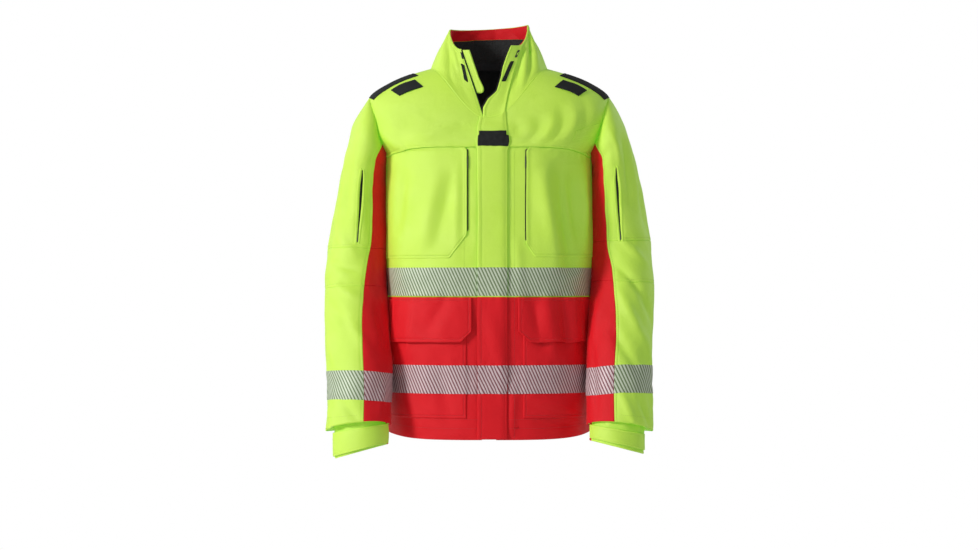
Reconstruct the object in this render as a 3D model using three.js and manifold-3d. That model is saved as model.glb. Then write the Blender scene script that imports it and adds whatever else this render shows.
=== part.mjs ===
// A two-tone high-visibility parka, as it hangs on a wearer's shoulders with the arms down.
// Millimetres, +Z up, the front faces -Y, and the wearer's left is +X.
// The origin is the centre of the neck opening, level with the neck seam on the shoulders.
import * as THREE from "three";
import { mergeVertices } from "three/addons/utils/BufferGeometryUtils.js";
import Module from "manifold-3d";

const wasm = await Module();
wasm.setup();

// ---- Driving dimensions ----
const HEM_Z = -660; // hem below the neck seam
const HEM_RISE = 9; // how far the hem rises at the sides
const ARMPIT_Z = -150;
const CHEST_HALF_WIDTH = 184;
const HEM_HALF_WIDTH = 182;
const CHEST_HALF_DEPTH = 122;
const HEM_HALF_DEPTH = 146;
const SECTION_POWER = 2.6; // 2 is an ellipse, and more is squarer
const NECK_HALF_WIDTH = 104;
const NECK_FRONT = { y: -100, z: -93 };
const NECK_BACK = { y: 66, z: 12 };
const SHOULDER_PULL = { x: 278, y: 118, front: -125, side: -42, back: -36 }; // handle of the shoulder curve
const TAPE_WIDTH = 50; // reflective tape
const CHEST_TAPE_TOP = -357;
const WAIST_TAPE_TOP = -529;
const COLOUR_CHANGE = CHEST_TAPE_TOP - TAPE_WIDTH - 2; // yellow above, red below
const FABRIC = 2; // one layer of shell fabric with its membrane
const PLY_GAP = 0.6; // between one layer and the next
const COLLAR_TOP = { halfWidth: 70, y: 60, side: 80, corner: 38 };

// Girth places are shares of the way round: 0 is the centre front, 0.25 the left side, 0.5 the centre back.
const GIRTH = 1040;
const across = (mm) => mm / GIRTH;
const FLAP_FREE_EDGE = across(-27);
const FLAP_SEAM = across(34);
const ZIP_HALF = across(13);
const SIDE_FRONT = 0.235;
const SIDE_BACK = 0.305;

// ---- Materials ----
const cloth = (color, roughness = 0.75) => new THREE.MeshStandardMaterial({ color, roughness, metalness: 0 });
const YELLOW = cloth(0xc8f02a);
const RED = cloth(0xd0202c);
const BLACK = cloth(0x17181a, 0.85);
const LINING = cloth(0x1c1d20, 0.9);
const SILVER = cloth(0xa9ada6, 0.45);
const METAL = new THREE.MeshStandardMaterial({ color: 0x1a1a1c, roughness: 0.4, metalness: 0.6 });

// ---- Solids from grids ----
// rows[r][c] holds the outer and the inner point of a sheet. A wrapped sheet closes into a tube.
function slab(rows, wrapped = false) {
  const height = rows.length;
  const width = rows[0].length;
  const points = [];
  for (const row of rows) for (const p of row) points.push(...p.outer.toArray());
  for (const row of rows) for (const p of row) points.push(...p.inner.toArray());
  const index = (r, c, side) => side * height * width + r * width + (c % width);
  const faces = [];
  const quad = (a, b, c, d) => faces.push(a, b, c, a, c, d);
  const columns = wrapped ? width : width - 1;
  for (let r = 0; r < height - 1; r++)
    for (let c = 0; c < columns; c++) {
      quad(index(r, c, 0), index(r, c + 1, 0), index(r + 1, c + 1, 0), index(r + 1, c, 0));
      quad(index(r, c, 1), index(r + 1, c, 1), index(r + 1, c + 1, 1), index(r, c + 1, 1));
    }
  for (let c = 0; c < columns; c++) {
    quad(index(0, c, 0), index(0, c, 1), index(0, c + 1, 1), index(0, c + 1, 0));
    quad(index(height - 1, c + 1, 0), index(height - 1, c + 1, 1), index(height - 1, c, 1), index(height - 1, c, 0));
  }
  if (!wrapped)
    for (let r = 0; r < height - 1; r++) {
      quad(index(r + 1, 0, 0), index(r + 1, 0, 1), index(r, 0, 1), index(r, 0, 0));
      quad(index(r, width - 1, 0), index(r, width - 1, 1), index(r + 1, width - 1, 1), index(r + 1, width - 1, 0));
    }
  const geometry = new THREE.BufferGeometry();
  geometry.setAttribute("position", new THREE.Float32BufferAttribute(points, 3));
  geometry.setIndex(faces);
  return facingOut(geometry);
}

// Turns every face round where the shape came out inside out.
function facingOut(geometry) {
  const at = geometry.getAttribute("position");
  const order = geometry.getIndex().array;
  const [a, b, c] = [new THREE.Vector3(), new THREE.Vector3(), new THREE.Vector3()];
  let volume = 0;
  for (let i = 0; i < order.length; i += 3) {
    a.fromBufferAttribute(at, order[i]);
    b.fromBufferAttribute(at, order[i + 1]);
    c.fromBufferAttribute(at, order[i + 2]);
    volume += a.dot(b.cross(c));
  }
  if (volume < 0)
    for (let i = 0; i < order.length; i += 3) [order[i + 1], order[i + 2]] = [order[i + 2], order[i + 1]];
  return geometry;
}

function solid(geometry) {
  const bare = geometry.clone();
  bare.deleteAttribute("normal");
  bare.deleteAttribute("uv");
  const merged = mergeVertices(bare, 1e-3);
  return new wasm.Manifold(
    new wasm.Mesh({
      numProp: 3,
      vertProperties: new Float32Array(merged.getAttribute("position").array),
      triVerts: new Uint32Array(merged.getIndex().array),
    }),
  );
}

function geometryOf(manifold) {
  const mesh = manifold.getMesh();
  const geometry = new THREE.BufferGeometry();
  geometry.setAttribute("position", new THREE.BufferAttribute(mesh.vertProperties, 3));
  geometry.setIndex(new THREE.BufferAttribute(mesh.triVerts, 1));
  return geometry;
}

const signedPower = (value, power) => Math.sign(value) * Math.abs(value) ** power;

// ---- The body's surface ----
// A level is a height below the armpits, and above them runs from ARMPIT_Z to 0 at the neck seam.
function section(angle, halfWidth, halfDepth) {
  const power = 2 / SECTION_POWER;
  return [halfWidth * signedPower(Math.sin(angle), power), -halfDepth * signedPower(Math.cos(angle), power)];
}

// The angle at each share of the girth, from the chest section's own length.
const GIRTH_SAMPLES = 1440;
const girthTable = [0];
for (let i = 1; i <= GIRTH_SAMPLES; i++) {
  const [x0, y0] = section(((i - 1) / GIRTH_SAMPLES) * Math.PI, CHEST_HALF_WIDTH, CHEST_HALF_DEPTH);
  const [x1, y1] = section((i / GIRTH_SAMPLES) * Math.PI, CHEST_HALF_WIDTH, CHEST_HALF_DEPTH);
  girthTable.push(girthTable[i - 1] + Math.hypot(x1 - x0, y1 - y0));
}
const wrap = (share) => share - Math.round(share);
function girthAngle(place) {
  const share = wrap(place);
  const wanted = 2 * Math.abs(share) * girthTable[GIRTH_SAMPLES];
  let i = 0;
  while (i < GIRTH_SAMPLES - 1 && girthTable[i + 1] < wanted) i++;
  const part = (wanted - girthTable[i]) / (girthTable[i + 1] - girthTable[i]);
  return Math.sign(share || 1) * ((i + part) / GIRTH_SAMPLES) * Math.PI;
}

function neckline(angle) {
  const front = Math.cos(angle) > 0;
  const reach = Math.abs(Math.cos(angle));
  const end = front ? NECK_FRONT : NECK_BACK;
  return new THREE.Vector3(NECK_HALF_WIDTH * Math.sin(angle), reach * end.y, reach ** (front ? 3.5 : 2) * end.z);
}

function bodySmooth(share, level) {
  const angle = girthAngle(share);
  if (level <= ARMPIT_Z) {
    const down = (ARMPIT_Z - level) / (ARMPIT_Z - HEM_Z);
    const [x, y] = section(
      angle,
      THREE.MathUtils.lerp(CHEST_HALF_WIDTH, HEM_HALF_WIDTH, down),
      THREE.MathUtils.lerp(CHEST_HALF_DEPTH, HEM_HALF_DEPTH, down),
    );
    return new THREE.Vector3(x, y, level);
  }
  const up = 1 - level / ARMPIT_Z;
  const [x0, y0] = section(angle, CHEST_HALF_WIDTH, CHEST_HALF_DEPTH);
  const [x1, y1] = section(angle, SHOULDER_PULL.x, SHOULDER_PULL.y);
  const sideways = Math.sin(angle) ** 2;
  const end = Math.cos(angle) > 0 ? SHOULDER_PULL.front : SHOULDER_PULL.back;
  const z1 = THREE.MathUtils.lerp(end, SHOULDER_PULL.side, sideways);
  return new THREE.QuadraticBezierCurve3(
    new THREE.Vector3(x0, y0, ARMPIT_Z),
    new THREE.Vector3(x1, y1, z1),
    neckline(angle),
  ).getPoint(up);
}

// Every layer is built on one set of facets, so that layers stay parallel and never cross.
const GIRTH_STEP = 1 / 40;
const LEVELS = [HEM_Z, -500, -330, -165, -128, -105, -82, -60, -40, -20, 0];
const corners = new Map();
function corner(column, row) {
  const key = column + ":" + row;
  if (!corners.has(key)) {
    const share = column * GIRTH_STEP;
    const level = LEVELS[row];
    const at = bodySmooth(share, level);
    const ahead = bodySmooth(share + 0.002, level).sub(bodySmooth(share - 0.002, level));
    const above = bodySmooth(share, Math.min(level + 1, 0)).sub(bodySmooth(share, level - 1));
    corners.set(key, { at, out: ahead.cross(above).normalize() });
  }
  return corners.get(key);
}
function onBody(share, level, lift) {
  const column = Math.floor(share / GIRTH_STEP + 1e-6);
  const across = share / GIRTH_STEP - column;
  let row = 0;
  while (row < LEVELS.length - 2 && LEVELS[row + 1] < level - 1e-6) row++;
  const along = (level - LEVELS[row]) / (LEVELS[row + 1] - LEVELS[row]);
  const mix = (name) =>
    corner(column, row)[name].clone().lerp(corner(column + 1, row)[name], across).lerp(
      corner(column, row + 1)[name].clone().lerp(corner(column + 1, row + 1)[name], across), along);
  return mix("at").addScaledVector(mix("out"), lift);
}

const hemLevel = (share) => HEM_Z + HEM_RISE * Math.sin(girthAngle(share)) ** 4;
const yokeLevel = (share) => -133 - 26 * Math.min(1, Math.abs(wrap(share)) / 0.2) ** 2;
const value = (edge, share) => (typeof edge === "function" ? edge(share) : edge);

// A layer of cloth on the body, between two girth places and two levels, which may vary with the girth.
function bodyLayer({ from, to, low, high, lift = 0, thick = FABRIC, breaks = [], edgeGap = 0.4 }) {
  const start = from + across(edgeGap);
  const stop = to - across(edgeGap);
  const columns = [start, stop, ...breaks];
  for (let c = Math.ceil(start / GIRTH_STEP); c * GIRTH_STEP < stop; c++) columns.push(c * GIRTH_STEP);
  const shares = [...new Set(columns.map((s) => Number(s.toFixed(6))))].sort((a, b) => a - b);
  const bottoms = shares.map((share) => value(low, share) + edgeGap);
  const tops = shares.map((share) => value(high, share) - edgeGap);
  const whole = LEVELS.filter((l) => l > Math.max(...bottoms) + 4 && l < Math.min(...tops) - 4);
  const sheet = (levels) =>
    shares.map((share, i) => ({
      outer: onBody(share, levels(i), lift + thick),
      inner: onBody(share, levels(i), lift),
    }));
  return slab([sheet((i) => bottoms[i]), ...whole.map((l) => sheet(() => l)), sheet((i) => tops[i])]);
}

// ---- The sleeve's surface ----
// Rings down the wearer's left sleeve, each from the outermost point to the innermost, with its half depth.
const SLEEVE_RINGS = [
  { outer: [214, 0, -52], inner: [186, 0, -150], depth: 66 },
  { outer: [240, 0, -95], inner: [186, 0, -166], depth: 72 },
  { outer: [254, 0, -140], inner: [186.5, 0, -183], depth: 74 },
  { outer: [265, 0, -190], inner: [187, 0, -212], depth: 72 },
  { outer: [277, 0, -250], inner: [187.5, 0, -258], depth: 68 },
  { outer: [288, -4, -310], inner: [188, -4, -312], depth: 64 },
  { outer: [293, -20, -370], inner: [189, -22, -368], depth: 61 },
  { outer: [292, -48, -432], inner: [184, -50, -426], depth: 59 },
  { outer: [289, -78, -500], inner: [176, -81, -490], depth: 57 },
  { outer: [286, -101, -570], inner: [172, -104, -556], depth: 56 },
  { outer: [287, -117, -630], inner: [174, -119, -618], depth: 54 },
];
const CUFF_RINGS = [
  { outer: [271, -112, -618], inner: [181, -115, -608], depth: 44 },
  { outer: [271, -122, -655], inner: [180, -124, -638], depth: 43 },
  { outer: [270, -131, -693], inner: [179, -132, -668], depth: 42 },
];
const TUBE_SIDES = 16;

// Smooth curves through a list of rings.
function tubeShape(rings) {
  const line = (name) =>
    new THREE.CatmullRomCurve3(rings.map((r) => new THREE.Vector3(...r[name])), false, "catmullrom", 0.5);
  return { outer: line("outer"), inner: line("inner"), depths: rings.map((r) => r.depth), last: rings.length - 1 };
}
const SLEEVE = tubeShape(SLEEVE_RINGS);
const CUFF = tubeShape(CUFF_RINGS);

// A point of the tube. Place counts rings, and turn is a share of the way round: 0 outermost, 0.25 in front.
function onTube(shape, place, turn, lift) {
  const at = Math.min(Math.max(place, 0), shape.last);
  const step = 0.02;
  const centre = (p) => {
    const t = Math.min(Math.max(p, 0), shape.last) / shape.last;
    return shape.outer.getPoint(t).add(shape.inner.getPoint(t)).multiplyScalar(0.5);
  };
  const wide = shape.outer.getPoint(at / shape.last).sub(shape.inner.getPoint(at / shape.last)).multiplyScalar(0.5);
  const axis = centre(at + step).sub(centre(at - step));
  const below = Math.min(Math.floor(at), shape.last - 1);
  const depth = THREE.MathUtils.lerp(shape.depths[below], shape.depths[below + 1], at - below);
  const deep = axis.clone().cross(wide).normalize();
  const angle = turn * 2 * Math.PI;
  const out = wide.clone().normalize().multiplyScalar(Math.cos(angle) * (wide.length() + lift));
  return centre(at).add(out).addScaledVector(deep, Math.sin(angle) * (depth + lift));
}

// Part of a tube's cloth, all the way round unless from and to say otherwise.
function tubeLayer(shape, { start, stop, steps, from = null, to = null, sides = TUBE_SIDES, lift = -FABRIC, thick = FABRIC }) {
  const wrapped = from === null;
  const count = wrapped ? sides : sides + 1;
  const rows = [];
  for (let r = 0; r <= steps; r++) {
    const place = start + ((stop - start) * r) / steps;
    const row = [];
    for (let c = 0; c < count; c++) {
      const turn = wrapped ? c / sides : THREE.MathUtils.lerp(value(from, place), value(to, place), c / sides);
      row.push({ outer: onTube(shape, place, turn, lift + thick), inner: onTube(shape, place, turn, lift) });
    }
    rows.push(row);
  }
  return slab(rows, wrapped);
}

// The solid space that a sleeve and its arm take through the body's side, for cutting the armholes.
const ARMHOLE_GAP = 2.2;
function sleeveCore() {
  const inwards = 34;
  const rows = [];
  for (let r = -1; r <= 6; r++) {
    const row = [];
    for (let c = 0; c < TUBE_SIDES; c++) {
      const p = onTube(SLEEVE, Math.max(r, 0) * 0.5, c / TUBE_SIDES, ARMHOLE_GAP);
      if (r < 0) p.x -= inwards;
      row.push(p);
    }
    rows.push(row);
  }
  const ends = [rows[0], rows[rows.length - 1]].map((row) =>
    row.reduce((sum, p) => sum.add(p), new THREE.Vector3()).multiplyScalar(1 / TUBE_SIDES),
  );
  const points = [...rows.flat(), ...ends].flatMap((p) => p.toArray());
  const faces = [];
  const index = (r, c) => r * TUBE_SIDES + (c % TUBE_SIDES);
  const last = rows.length - 1;
  for (let r = 0; r < last; r++)
    for (let c = 0; c < TUBE_SIDES; c++) {
      faces.push(index(r, c), index(r, c + 1), index(r + 1, c + 1));
      faces.push(index(r, c), index(r + 1, c + 1), index(r + 1, c));
    }
  for (let c = 0; c < TUBE_SIDES; c++) {
    faces.push(rows.length * TUBE_SIDES, index(0, c + 1), index(0, c));
    faces.push(rows.length * TUBE_SIDES + 1, index(last, c), index(last, c + 1));
  }
  const geometry = new THREE.BufferGeometry();
  geometry.setAttribute("position", new THREE.Float32BufferAttribute(points, 3));
  geometry.setIndex(faces);
  return facingOut(geometry);
}
const mirrored = (geometry) => facingOut(geometry.clone().scale(-1, 1, 1));
const leftCore = sleeveCore();
const ARM_SPACE = { left: solid(leftCore), right: solid(mirrored(leftCore)) };
const withArmholes = (geometry) => geometryOf(solid(geometry).subtract(ARM_SPACE.left).subtract(ARM_SPACE.right));

// ---- The collar's surface ----
// Round is -1 at the wearer's right front edge, 0 at the back and 1 at the left; up is 0 at the seam, 1 at the top.
const COLLAR_BASE_END = THREE.MathUtils.degToRad(175);
const COLLAR_TOP_END = THREE.MathUtils.degToRad(135);
function onCollar(round, up, lift) {
  const at = (r, u) => {
    const base = neckline(Math.PI - r * COLLAR_BASE_END);
    const back = r * COLLAR_TOP_END;
    const drop = THREE.MathUtils.smoothstep(Math.abs(back), Math.PI / 3, COLLAR_TOP_END);
    const top = new THREE.Vector3(
      COLLAR_TOP.halfWidth * Math.sin(back),
      COLLAR_TOP.y * Math.cos(back),
      THREE.MathUtils.lerp(COLLAR_TOP.side, COLLAR_TOP.corner, drop),
    );
    return base.lerp(top, u);
  };
  const step = 0.01;
  const ahead = at(round + step, up).sub(at(round - step, up));
  const above = at(round, Math.min(up + step, 1)).sub(at(round, Math.max(up - step, 0)));
  const out = above.cross(ahead).normalize();
  return at(round, up).addScaledVector(out, lift);
}
const COLLAR_ROWS = [0.035, 0.3, 0.55, 0.8, 1];
function collarLayer(lift, thick, ups, from = -1, to = 1, columns = 24) {
  const rows = ups.map((up) => {
    const row = [];
    for (let c = 0; c <= columns; c++) {
      const round = THREE.MathUtils.lerp(from, to, c / columns);
      row.push({ outer: onCollar(round, up, lift + thick), inner: onCollar(round, up, lift) });
    }
    return row;
  });
  return slab(rows);
}

// ---- The assembly ----
const coat = new THREE.Group();
function place(name, geometry, material) {
  const mesh = new THREE.Mesh(geometry, material);
  mesh.name = name;
  coat.add(mesh);
}
// A pair of pieces: the wearer's left as made, and the right as its mirror.
function placePair(name, left, material) {
  place(name + "_left", left, material);
  place(name + "_right", mirrored(left), material);
}

// Shell panels: yoke, chest and back in yellow, sides and skirts in red.
function shell() {
  const frontEdge = ZIP_HALF;
  const yokeTop = -1; // the collar is sewn on here
  place("yoke",
    withArmholes(bodyLayer({ from: frontEdge, to: 1 - frontEdge, low: yokeLevel, high: yokeTop, lift: -FABRIC })),
    YELLOW);
  placePair("front_chest",
    withArmholes(bodyLayer({ from: frontEdge, to: SIDE_FRONT, low: COLOUR_CHANGE, high: yokeLevel, lift: -FABRIC })),
    YELLOW);
  place("back_panel",
    bodyLayer({ from: SIDE_BACK, to: 1 - SIDE_BACK, low: COLOUR_CHANGE, high: yokeLevel, lift: -FABRIC }), YELLOW);
  placePair("side_panel",
    withArmholes(bodyLayer({ from: SIDE_FRONT, to: SIDE_BACK, low: hemLevel, high: yokeLevel, lift: -FABRIC })), RED);
  placePair("front_skirt",
    bodyLayer({ from: frontEdge, to: SIDE_FRONT, low: hemLevel, high: COLOUR_CHANGE, lift: -FABRIC }), RED);
  place("back_skirt",
    bodyLayer({ from: SIDE_BACK, to: 1 - SIDE_BACK, low: hemLevel, high: COLOUR_CHANGE, lift: -FABRIC }), RED);
}

// A black lining hangs inside the shell from the yoke to just above the hem.
function lining() {
  const low = (share) => hemLevel(share) + 30;
  place("body_lining",
    withArmholes(bodyLayer({ from: ZIP_HALF, to: 1 - ZIP_HALF, low, high: -12, lift: -FABRIC - 3, thick: 1.4 })),
    LINING);
}

function collar() {
  place("collar_shell", collarLayer(0, 2.4, COLLAR_ROWS), YELLOW);
  place("collar_lining", collarLayer(-3.2, 2.4, COLLAR_ROWS.slice(0, 4)), BLACK);
  place("collar_facing", collarLayer(-3.2, 2.4, [COLLAR_ROWS[3] + 0.02, COLLAR_ROWS[4]]), RED);
  // A guard behind the zip stands out from the wearer's right front edge, so that the zip can't catch the chin.
  place("chin_guard", collarLayer(-3.2, 2.4, COLLAR_ROWS.slice(1), -1.09, -1.01, 3), YELLOW);
}

// The front closure: two zip tapes, the slider that joins them, and the storm flap that covers them.
const SLIDER = { width: 11, length: 16, thick: 2.4, top: -175 };
function frontClosure() {
  const tape = { low: HEM_Z + 8, high: -4, lift: -FABRIC, thick: 1 };
  place("zip_tape_left", bodyLayer({ from: 0, to: ZIP_HALF, ...tape }), BLACK);
  place("zip_tape_right", bodyLayer({ from: -ZIP_HALF, to: 0, ...tape }), BLACK);
  const body = new THREE.BoxGeometry(SLIDER.width, SLIDER.thick, SLIDER.length);
  const pull = new THREE.BoxGeometry(4.5, 1.4, 24).translate(0, -1, -SLIDER.length / 2 - 6);
  const both = geometryOf(solid(body).add(solid(pull)));
  const top = onBody(0, SLIDER.top, 0.3 + SLIDER.thick / 2);
  const foot = onBody(0, SLIDER.top - 100, 0.3 + SLIDER.thick / 2);
  both.rotateX(-Math.atan2(top.y - foot.y, top.z - foot.z));
  both.translate(top.x, top.y, top.z);
  place("main_slider", both, METAL);
}

const FLAP_LIFT = 5.4;
const TAB_LEVELS = { top: -60, bottom: -124 };
function stormFlap() {
  const span = { from: FLAP_FREE_EDGE, to: FLAP_SEAM, lift: FLAP_LIFT };
  place("storm_flap_upper", bodyLayer({ ...span, low: COLOUR_CHANGE, high: -6 }), YELLOW);
  place("storm_flap_lower", bodyLayer({ ...span, low: HEM_Z + 1, high: COLOUR_CHANGE }), RED);
  const onFlap = { ...span, lift: FLAP_LIFT + FABRIC + PLY_GAP, edgeGap: 0.6 };
  place("chest_tape_flap",
    bodyLayer({ ...onFlap, thick: 0.6, low: CHEST_TAPE_TOP - TAPE_WIDTH, high: CHEST_TAPE_TOP }), SILVER);
  place("waist_tape_flap",
    bodyLayer({ ...onFlap, thick: 0.6, low: WAIST_TAPE_TOP - TAPE_WIDTH, high: WAIST_TAPE_TOP }), SILVER);
  // The webbing tab is flat, so that a clip or badge seats on it.
  const middle = (FLAP_FREE_EDGE + FLAP_SEAM) / 2;
  const tab = new THREE.BoxGeometry(54, 2, 25);
  const upper = onBody(middle, TAB_LEVELS.top, FLAP_LIFT + FABRIC + 2.6);
  const lower = onBody(middle, TAB_LEVELS.bottom, FLAP_LIFT + FABRIC + 2.6);
  tab.rotateX(Math.atan2(upper.y - lower.y, upper.z - lower.z) * -1);
  tab.translate(upper.x + 3, (upper.y + lower.y) / 2, (upper.z + lower.z) / 2);
  place("chest_tab", tab, BLACK);
}

// Reflective tape on the body, in lengths that meet the flap and the side seams.
function bodyTape() {
  const around = { from: FLAP_SEAM + across(2), to: 1 + FLAP_FREE_EDGE - across(3), thick: 0.6 };
  place("chest_tape",
    bodyLayer({ ...around, low: CHEST_TAPE_TOP - TAPE_WIDTH, high: CHEST_TAPE_TOP, lift: PLY_GAP }), SILVER);
  place("waist_tape",
    bodyLayer({ ...around, low: WAIST_TAPE_TOP - TAPE_WIDTH, high: WAIST_TAPE_TOP, lift: 3.4 }), SILVER);
}

// Patch pockets with one corner cut off; a zip runs up the inner edge of each chest pocket.
// The storm flap lies off centre, so the wearer's left pockets start further out than the right ones.
const POCKETS = { left: { zip: 68, flap: 52 }, right: { zip: 40, flap: 31 } };
const CHEST_POCKET = { bottom: -340, cornerUp: 40, cornerAcross: 32 };
const SKIRT_POCKET = { inset: 10, bottom: -622, top: COLOUR_CHANGE - 4 };
const POCKET_FLAP = { outer: 179, bottom: -489, cornerUp: 21, cornerAcross: 20 };
function cutCorner(edge, bottom, up, wide) {
  const end = edge + across(wide);
  return (share) => bottom + up * Math.max(0, (end - share) / (end - edge));
}
function pocketsOn(side) {
  const { zip, flap } = POCKETS[side];
  const put = (name, geometry, material) =>
    place(name + "_" + side, side === "left" ? geometry : mirrored(geometry), material);
  const chestEdge = across(zip);
  const chestLow = cutCorner(chestEdge, CHEST_POCKET.bottom, CHEST_POCKET.cornerUp, CHEST_POCKET.cornerAcross);
  put("chest_pocket", bodyLayer({
    from: chestEdge, to: SIDE_FRONT - 0.012, low: chestLow, high: (s) => yokeLevel(s) - 4,
    lift: PLY_GAP, thick: 1.6, breaks: [chestEdge + across(CHEST_POCKET.cornerAcross)],
  }), YELLOW);
  put("skirt_pocket", bodyLayer({
    from: across(flap + SKIRT_POCKET.inset), to: SIDE_FRONT - 0.006, low: SKIRT_POCKET.bottom,
    high: SKIRT_POCKET.top, lift: PLY_GAP, thick: 2.2,
  }), RED);
  const flapEdge = across(flap + 4);
  const flapLow = cutCorner(flapEdge, POCKET_FLAP.bottom, POCKET_FLAP.cornerUp, POCKET_FLAP.cornerAcross);
  put("pocket_flap", bodyLayer({
    from: flapEdge, to: across(POCKET_FLAP.outer), low: flapLow, high: COLOUR_CHANGE - 3,
    lift: 3.4, thick: 2, breaks: [flapEdge + across(POCKET_FLAP.cornerAcross)],
  }), RED);
  const top = onBody(chestEdge, -165, 3.4);
  const slider = new THREE.BoxGeometry(6, 2.2, 10);
  slider.rotateZ(Math.atan2(onBody(chestEdge + across(5), -165, 0).y - onBody(chestEdge, -165, 0).y, 5));
  slider.translate(top.x, top.y - 1.2, top.z);
  put("chest_slider", slider, METAL);
}

// Black guards over the shoulder seams, and a short webbing tab in front of each.
function shoulderTrim() {
  const guard = bodyLayer({ from: 0.218, to: 0.3, low: -78, high: -30, lift: 1, thick: 1.4 });
  placePair("shoulder_guard", geometryOf(solid(guard).subtract(ARM_SPACE.left)), BLACK);
  const tab = bodyLayer({ from: 0.168, to: 0.196, low: -58, high: -24, lift: 1, thick: 1.8 });
  placePair("shoulder_tab", tab, BLACK);
}

// Sleeves: the cap and the elbow are the parts that bend. A red panel runs down the underside of each.
const ARM_BREAK = { cap: 3.2, elbow: 4.9, forearm: 7.25 };
const JOIN_GAP = 0.01;
const SEAM_GAP = 0.002;
const seamFront = (at) => THREE.MathUtils.lerp(0.342, 0.257, THREE.MathUtils.smoothstep(at, 4.6, 8.2));
const seamBack = () => 0.65;
function sleevePart(name, start, stop, steps) {
  const part = { start, stop, steps };
  placePair(name, tubeLayer(SLEEVE, {
    ...part, sides: 11, from: (at) => seamBack(at) + SEAM_GAP - 1, to: (at) => seamFront(at) - SEAM_GAP,
  }), YELLOW);
  placePair(name + "_under", tubeLayer(SLEEVE, { ...part, sides: 5, from: seamFront, to: seamBack }), RED);
}
function sleeves() {
  sleevePart("sleeve_cap", 0, ARM_BREAK.cap - JOIN_GAP, 5);
  sleevePart("sleeve_upper", ARM_BREAK.cap, ARM_BREAK.elbow - JOIN_GAP, 2);
  sleevePart("sleeve_elbow", ARM_BREAK.elbow, ARM_BREAK.forearm - JOIN_GAP, 4);
  sleevePart("sleeve_forearm", ARM_BREAK.forearm, SLEEVE.last, 4);
  placePair("sleeve_tape", tubeLayer(SLEEVE, { start: 8.55, stop: 9.3, steps: 2, lift: 2.2, thick: 0.6 }), SILVER);
  placePair("cuff", tubeLayer(CUFF, { start: 0, stop: 2, steps: 2 }), YELLOW);
  placePair("cuff_tab", tubeLayer(CUFF, {
    start: 0.5, stop: 1.6, steps: 2, from: 0.06, to: 0.46, sides: 8, lift: 1.2, thick: 2,
  }), YELLOW);
  const run = onTube(SLEEVE, 4.8, 0.25, 3);
  const slider = new THREE.BoxGeometry(5, 2.2, 9).translate(run.x, run.y, run.z);
  placePair("sleeve_slider", slider, METAL);
}

shell();
lining();
collar();
frontClosure();
stormFlap();
bodyTape();
pocketsOn("left");
pocketsOn("right");
shoulderTrim();
sleeves();

export default coat;
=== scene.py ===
import math

import bpy
import numpy as np
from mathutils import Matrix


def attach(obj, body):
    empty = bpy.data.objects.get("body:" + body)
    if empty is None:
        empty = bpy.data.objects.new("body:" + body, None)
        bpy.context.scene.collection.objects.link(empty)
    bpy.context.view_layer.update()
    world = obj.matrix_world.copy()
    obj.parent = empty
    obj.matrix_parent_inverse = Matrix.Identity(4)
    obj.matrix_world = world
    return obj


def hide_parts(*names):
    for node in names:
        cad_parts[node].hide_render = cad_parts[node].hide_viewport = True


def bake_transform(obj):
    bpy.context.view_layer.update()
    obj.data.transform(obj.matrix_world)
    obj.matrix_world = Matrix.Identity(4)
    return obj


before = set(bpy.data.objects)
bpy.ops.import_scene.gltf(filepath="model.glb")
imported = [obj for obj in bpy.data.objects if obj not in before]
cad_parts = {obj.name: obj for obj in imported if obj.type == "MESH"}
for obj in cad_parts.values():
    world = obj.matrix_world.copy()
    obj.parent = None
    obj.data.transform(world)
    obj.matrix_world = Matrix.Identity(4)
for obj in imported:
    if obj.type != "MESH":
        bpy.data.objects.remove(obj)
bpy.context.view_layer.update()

# ---- The set ----
# A level camera at waist height, a round white floor well below the coat and a white studio all
# round, with one soft lamp high on the wearer's right, a weaker one on the left and two behind.
def placed(name, data):
    """A new object in the scene, at the origin."""
    item = bpy.data.objects.new(name, data)
    bpy.context.scene.collection.objects.link(item)
    return item


camera = placed("set_camera", bpy.data.cameras.new("set_camera"))
camera.data.sensor_width = 36
camera.data.lens = 103.05
camera.location = (0, -5.06, -0.370)
camera.rotation_euler = (math.pi / 2, 0, 0)
bpy.context.scene.camera = camera

FLOOR_RADIUS, FLOOR_LEVEL, FLOOR_GLOW = 5.6, -1.46, 0.6
STUDIO_LIGHT, STUDIO_WHITE = 0.33, 1.0


def brighter_to_camera(tree, light, seen, socket):
    """The backdrop looks whiter than the light that it throws on the coat."""
    ray = tree.nodes.new("ShaderNodeLightPath")
    bright = tree.nodes.new("ShaderNodeMapRange")
    bright.inputs["To Min"].default_value = light
    bright.inputs["To Max"].default_value = seen
    tree.links.new(ray.outputs["Is Camera Ray"], bright.inputs["Value"])
    tree.links.new(bright.outputs["Result"], socket)


rim = [(FLOOR_RADIUS * math.cos(a), FLOOR_RADIUS * math.sin(a), FLOOR_LEVEL)
       for a in np.linspace(0, 2 * math.pi, 97)[:-1]]
floor_mesh = bpy.data.meshes.new("set_floor")
floor_mesh.from_pydata(rim, [], [tuple(range(len(rim)))])
floor = placed("set_floor", floor_mesh)
paper = bpy.data.materials.new("white_paper")
paper.use_nodes = True
surface = paper.node_tree.nodes["Principled BSDF"]
surface.inputs["Base Color"].default_value = (0.93, 0.93, 0.93, 1)
surface.inputs["Roughness"].default_value = 0.9
surface.inputs["Emission Color"].default_value = (1, 1, 1, 1)
brighter_to_camera(paper.node_tree, 0.0, FLOOR_GLOW, surface.inputs["Emission Strength"])
floor_mesh.materials.append(paper)


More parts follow.
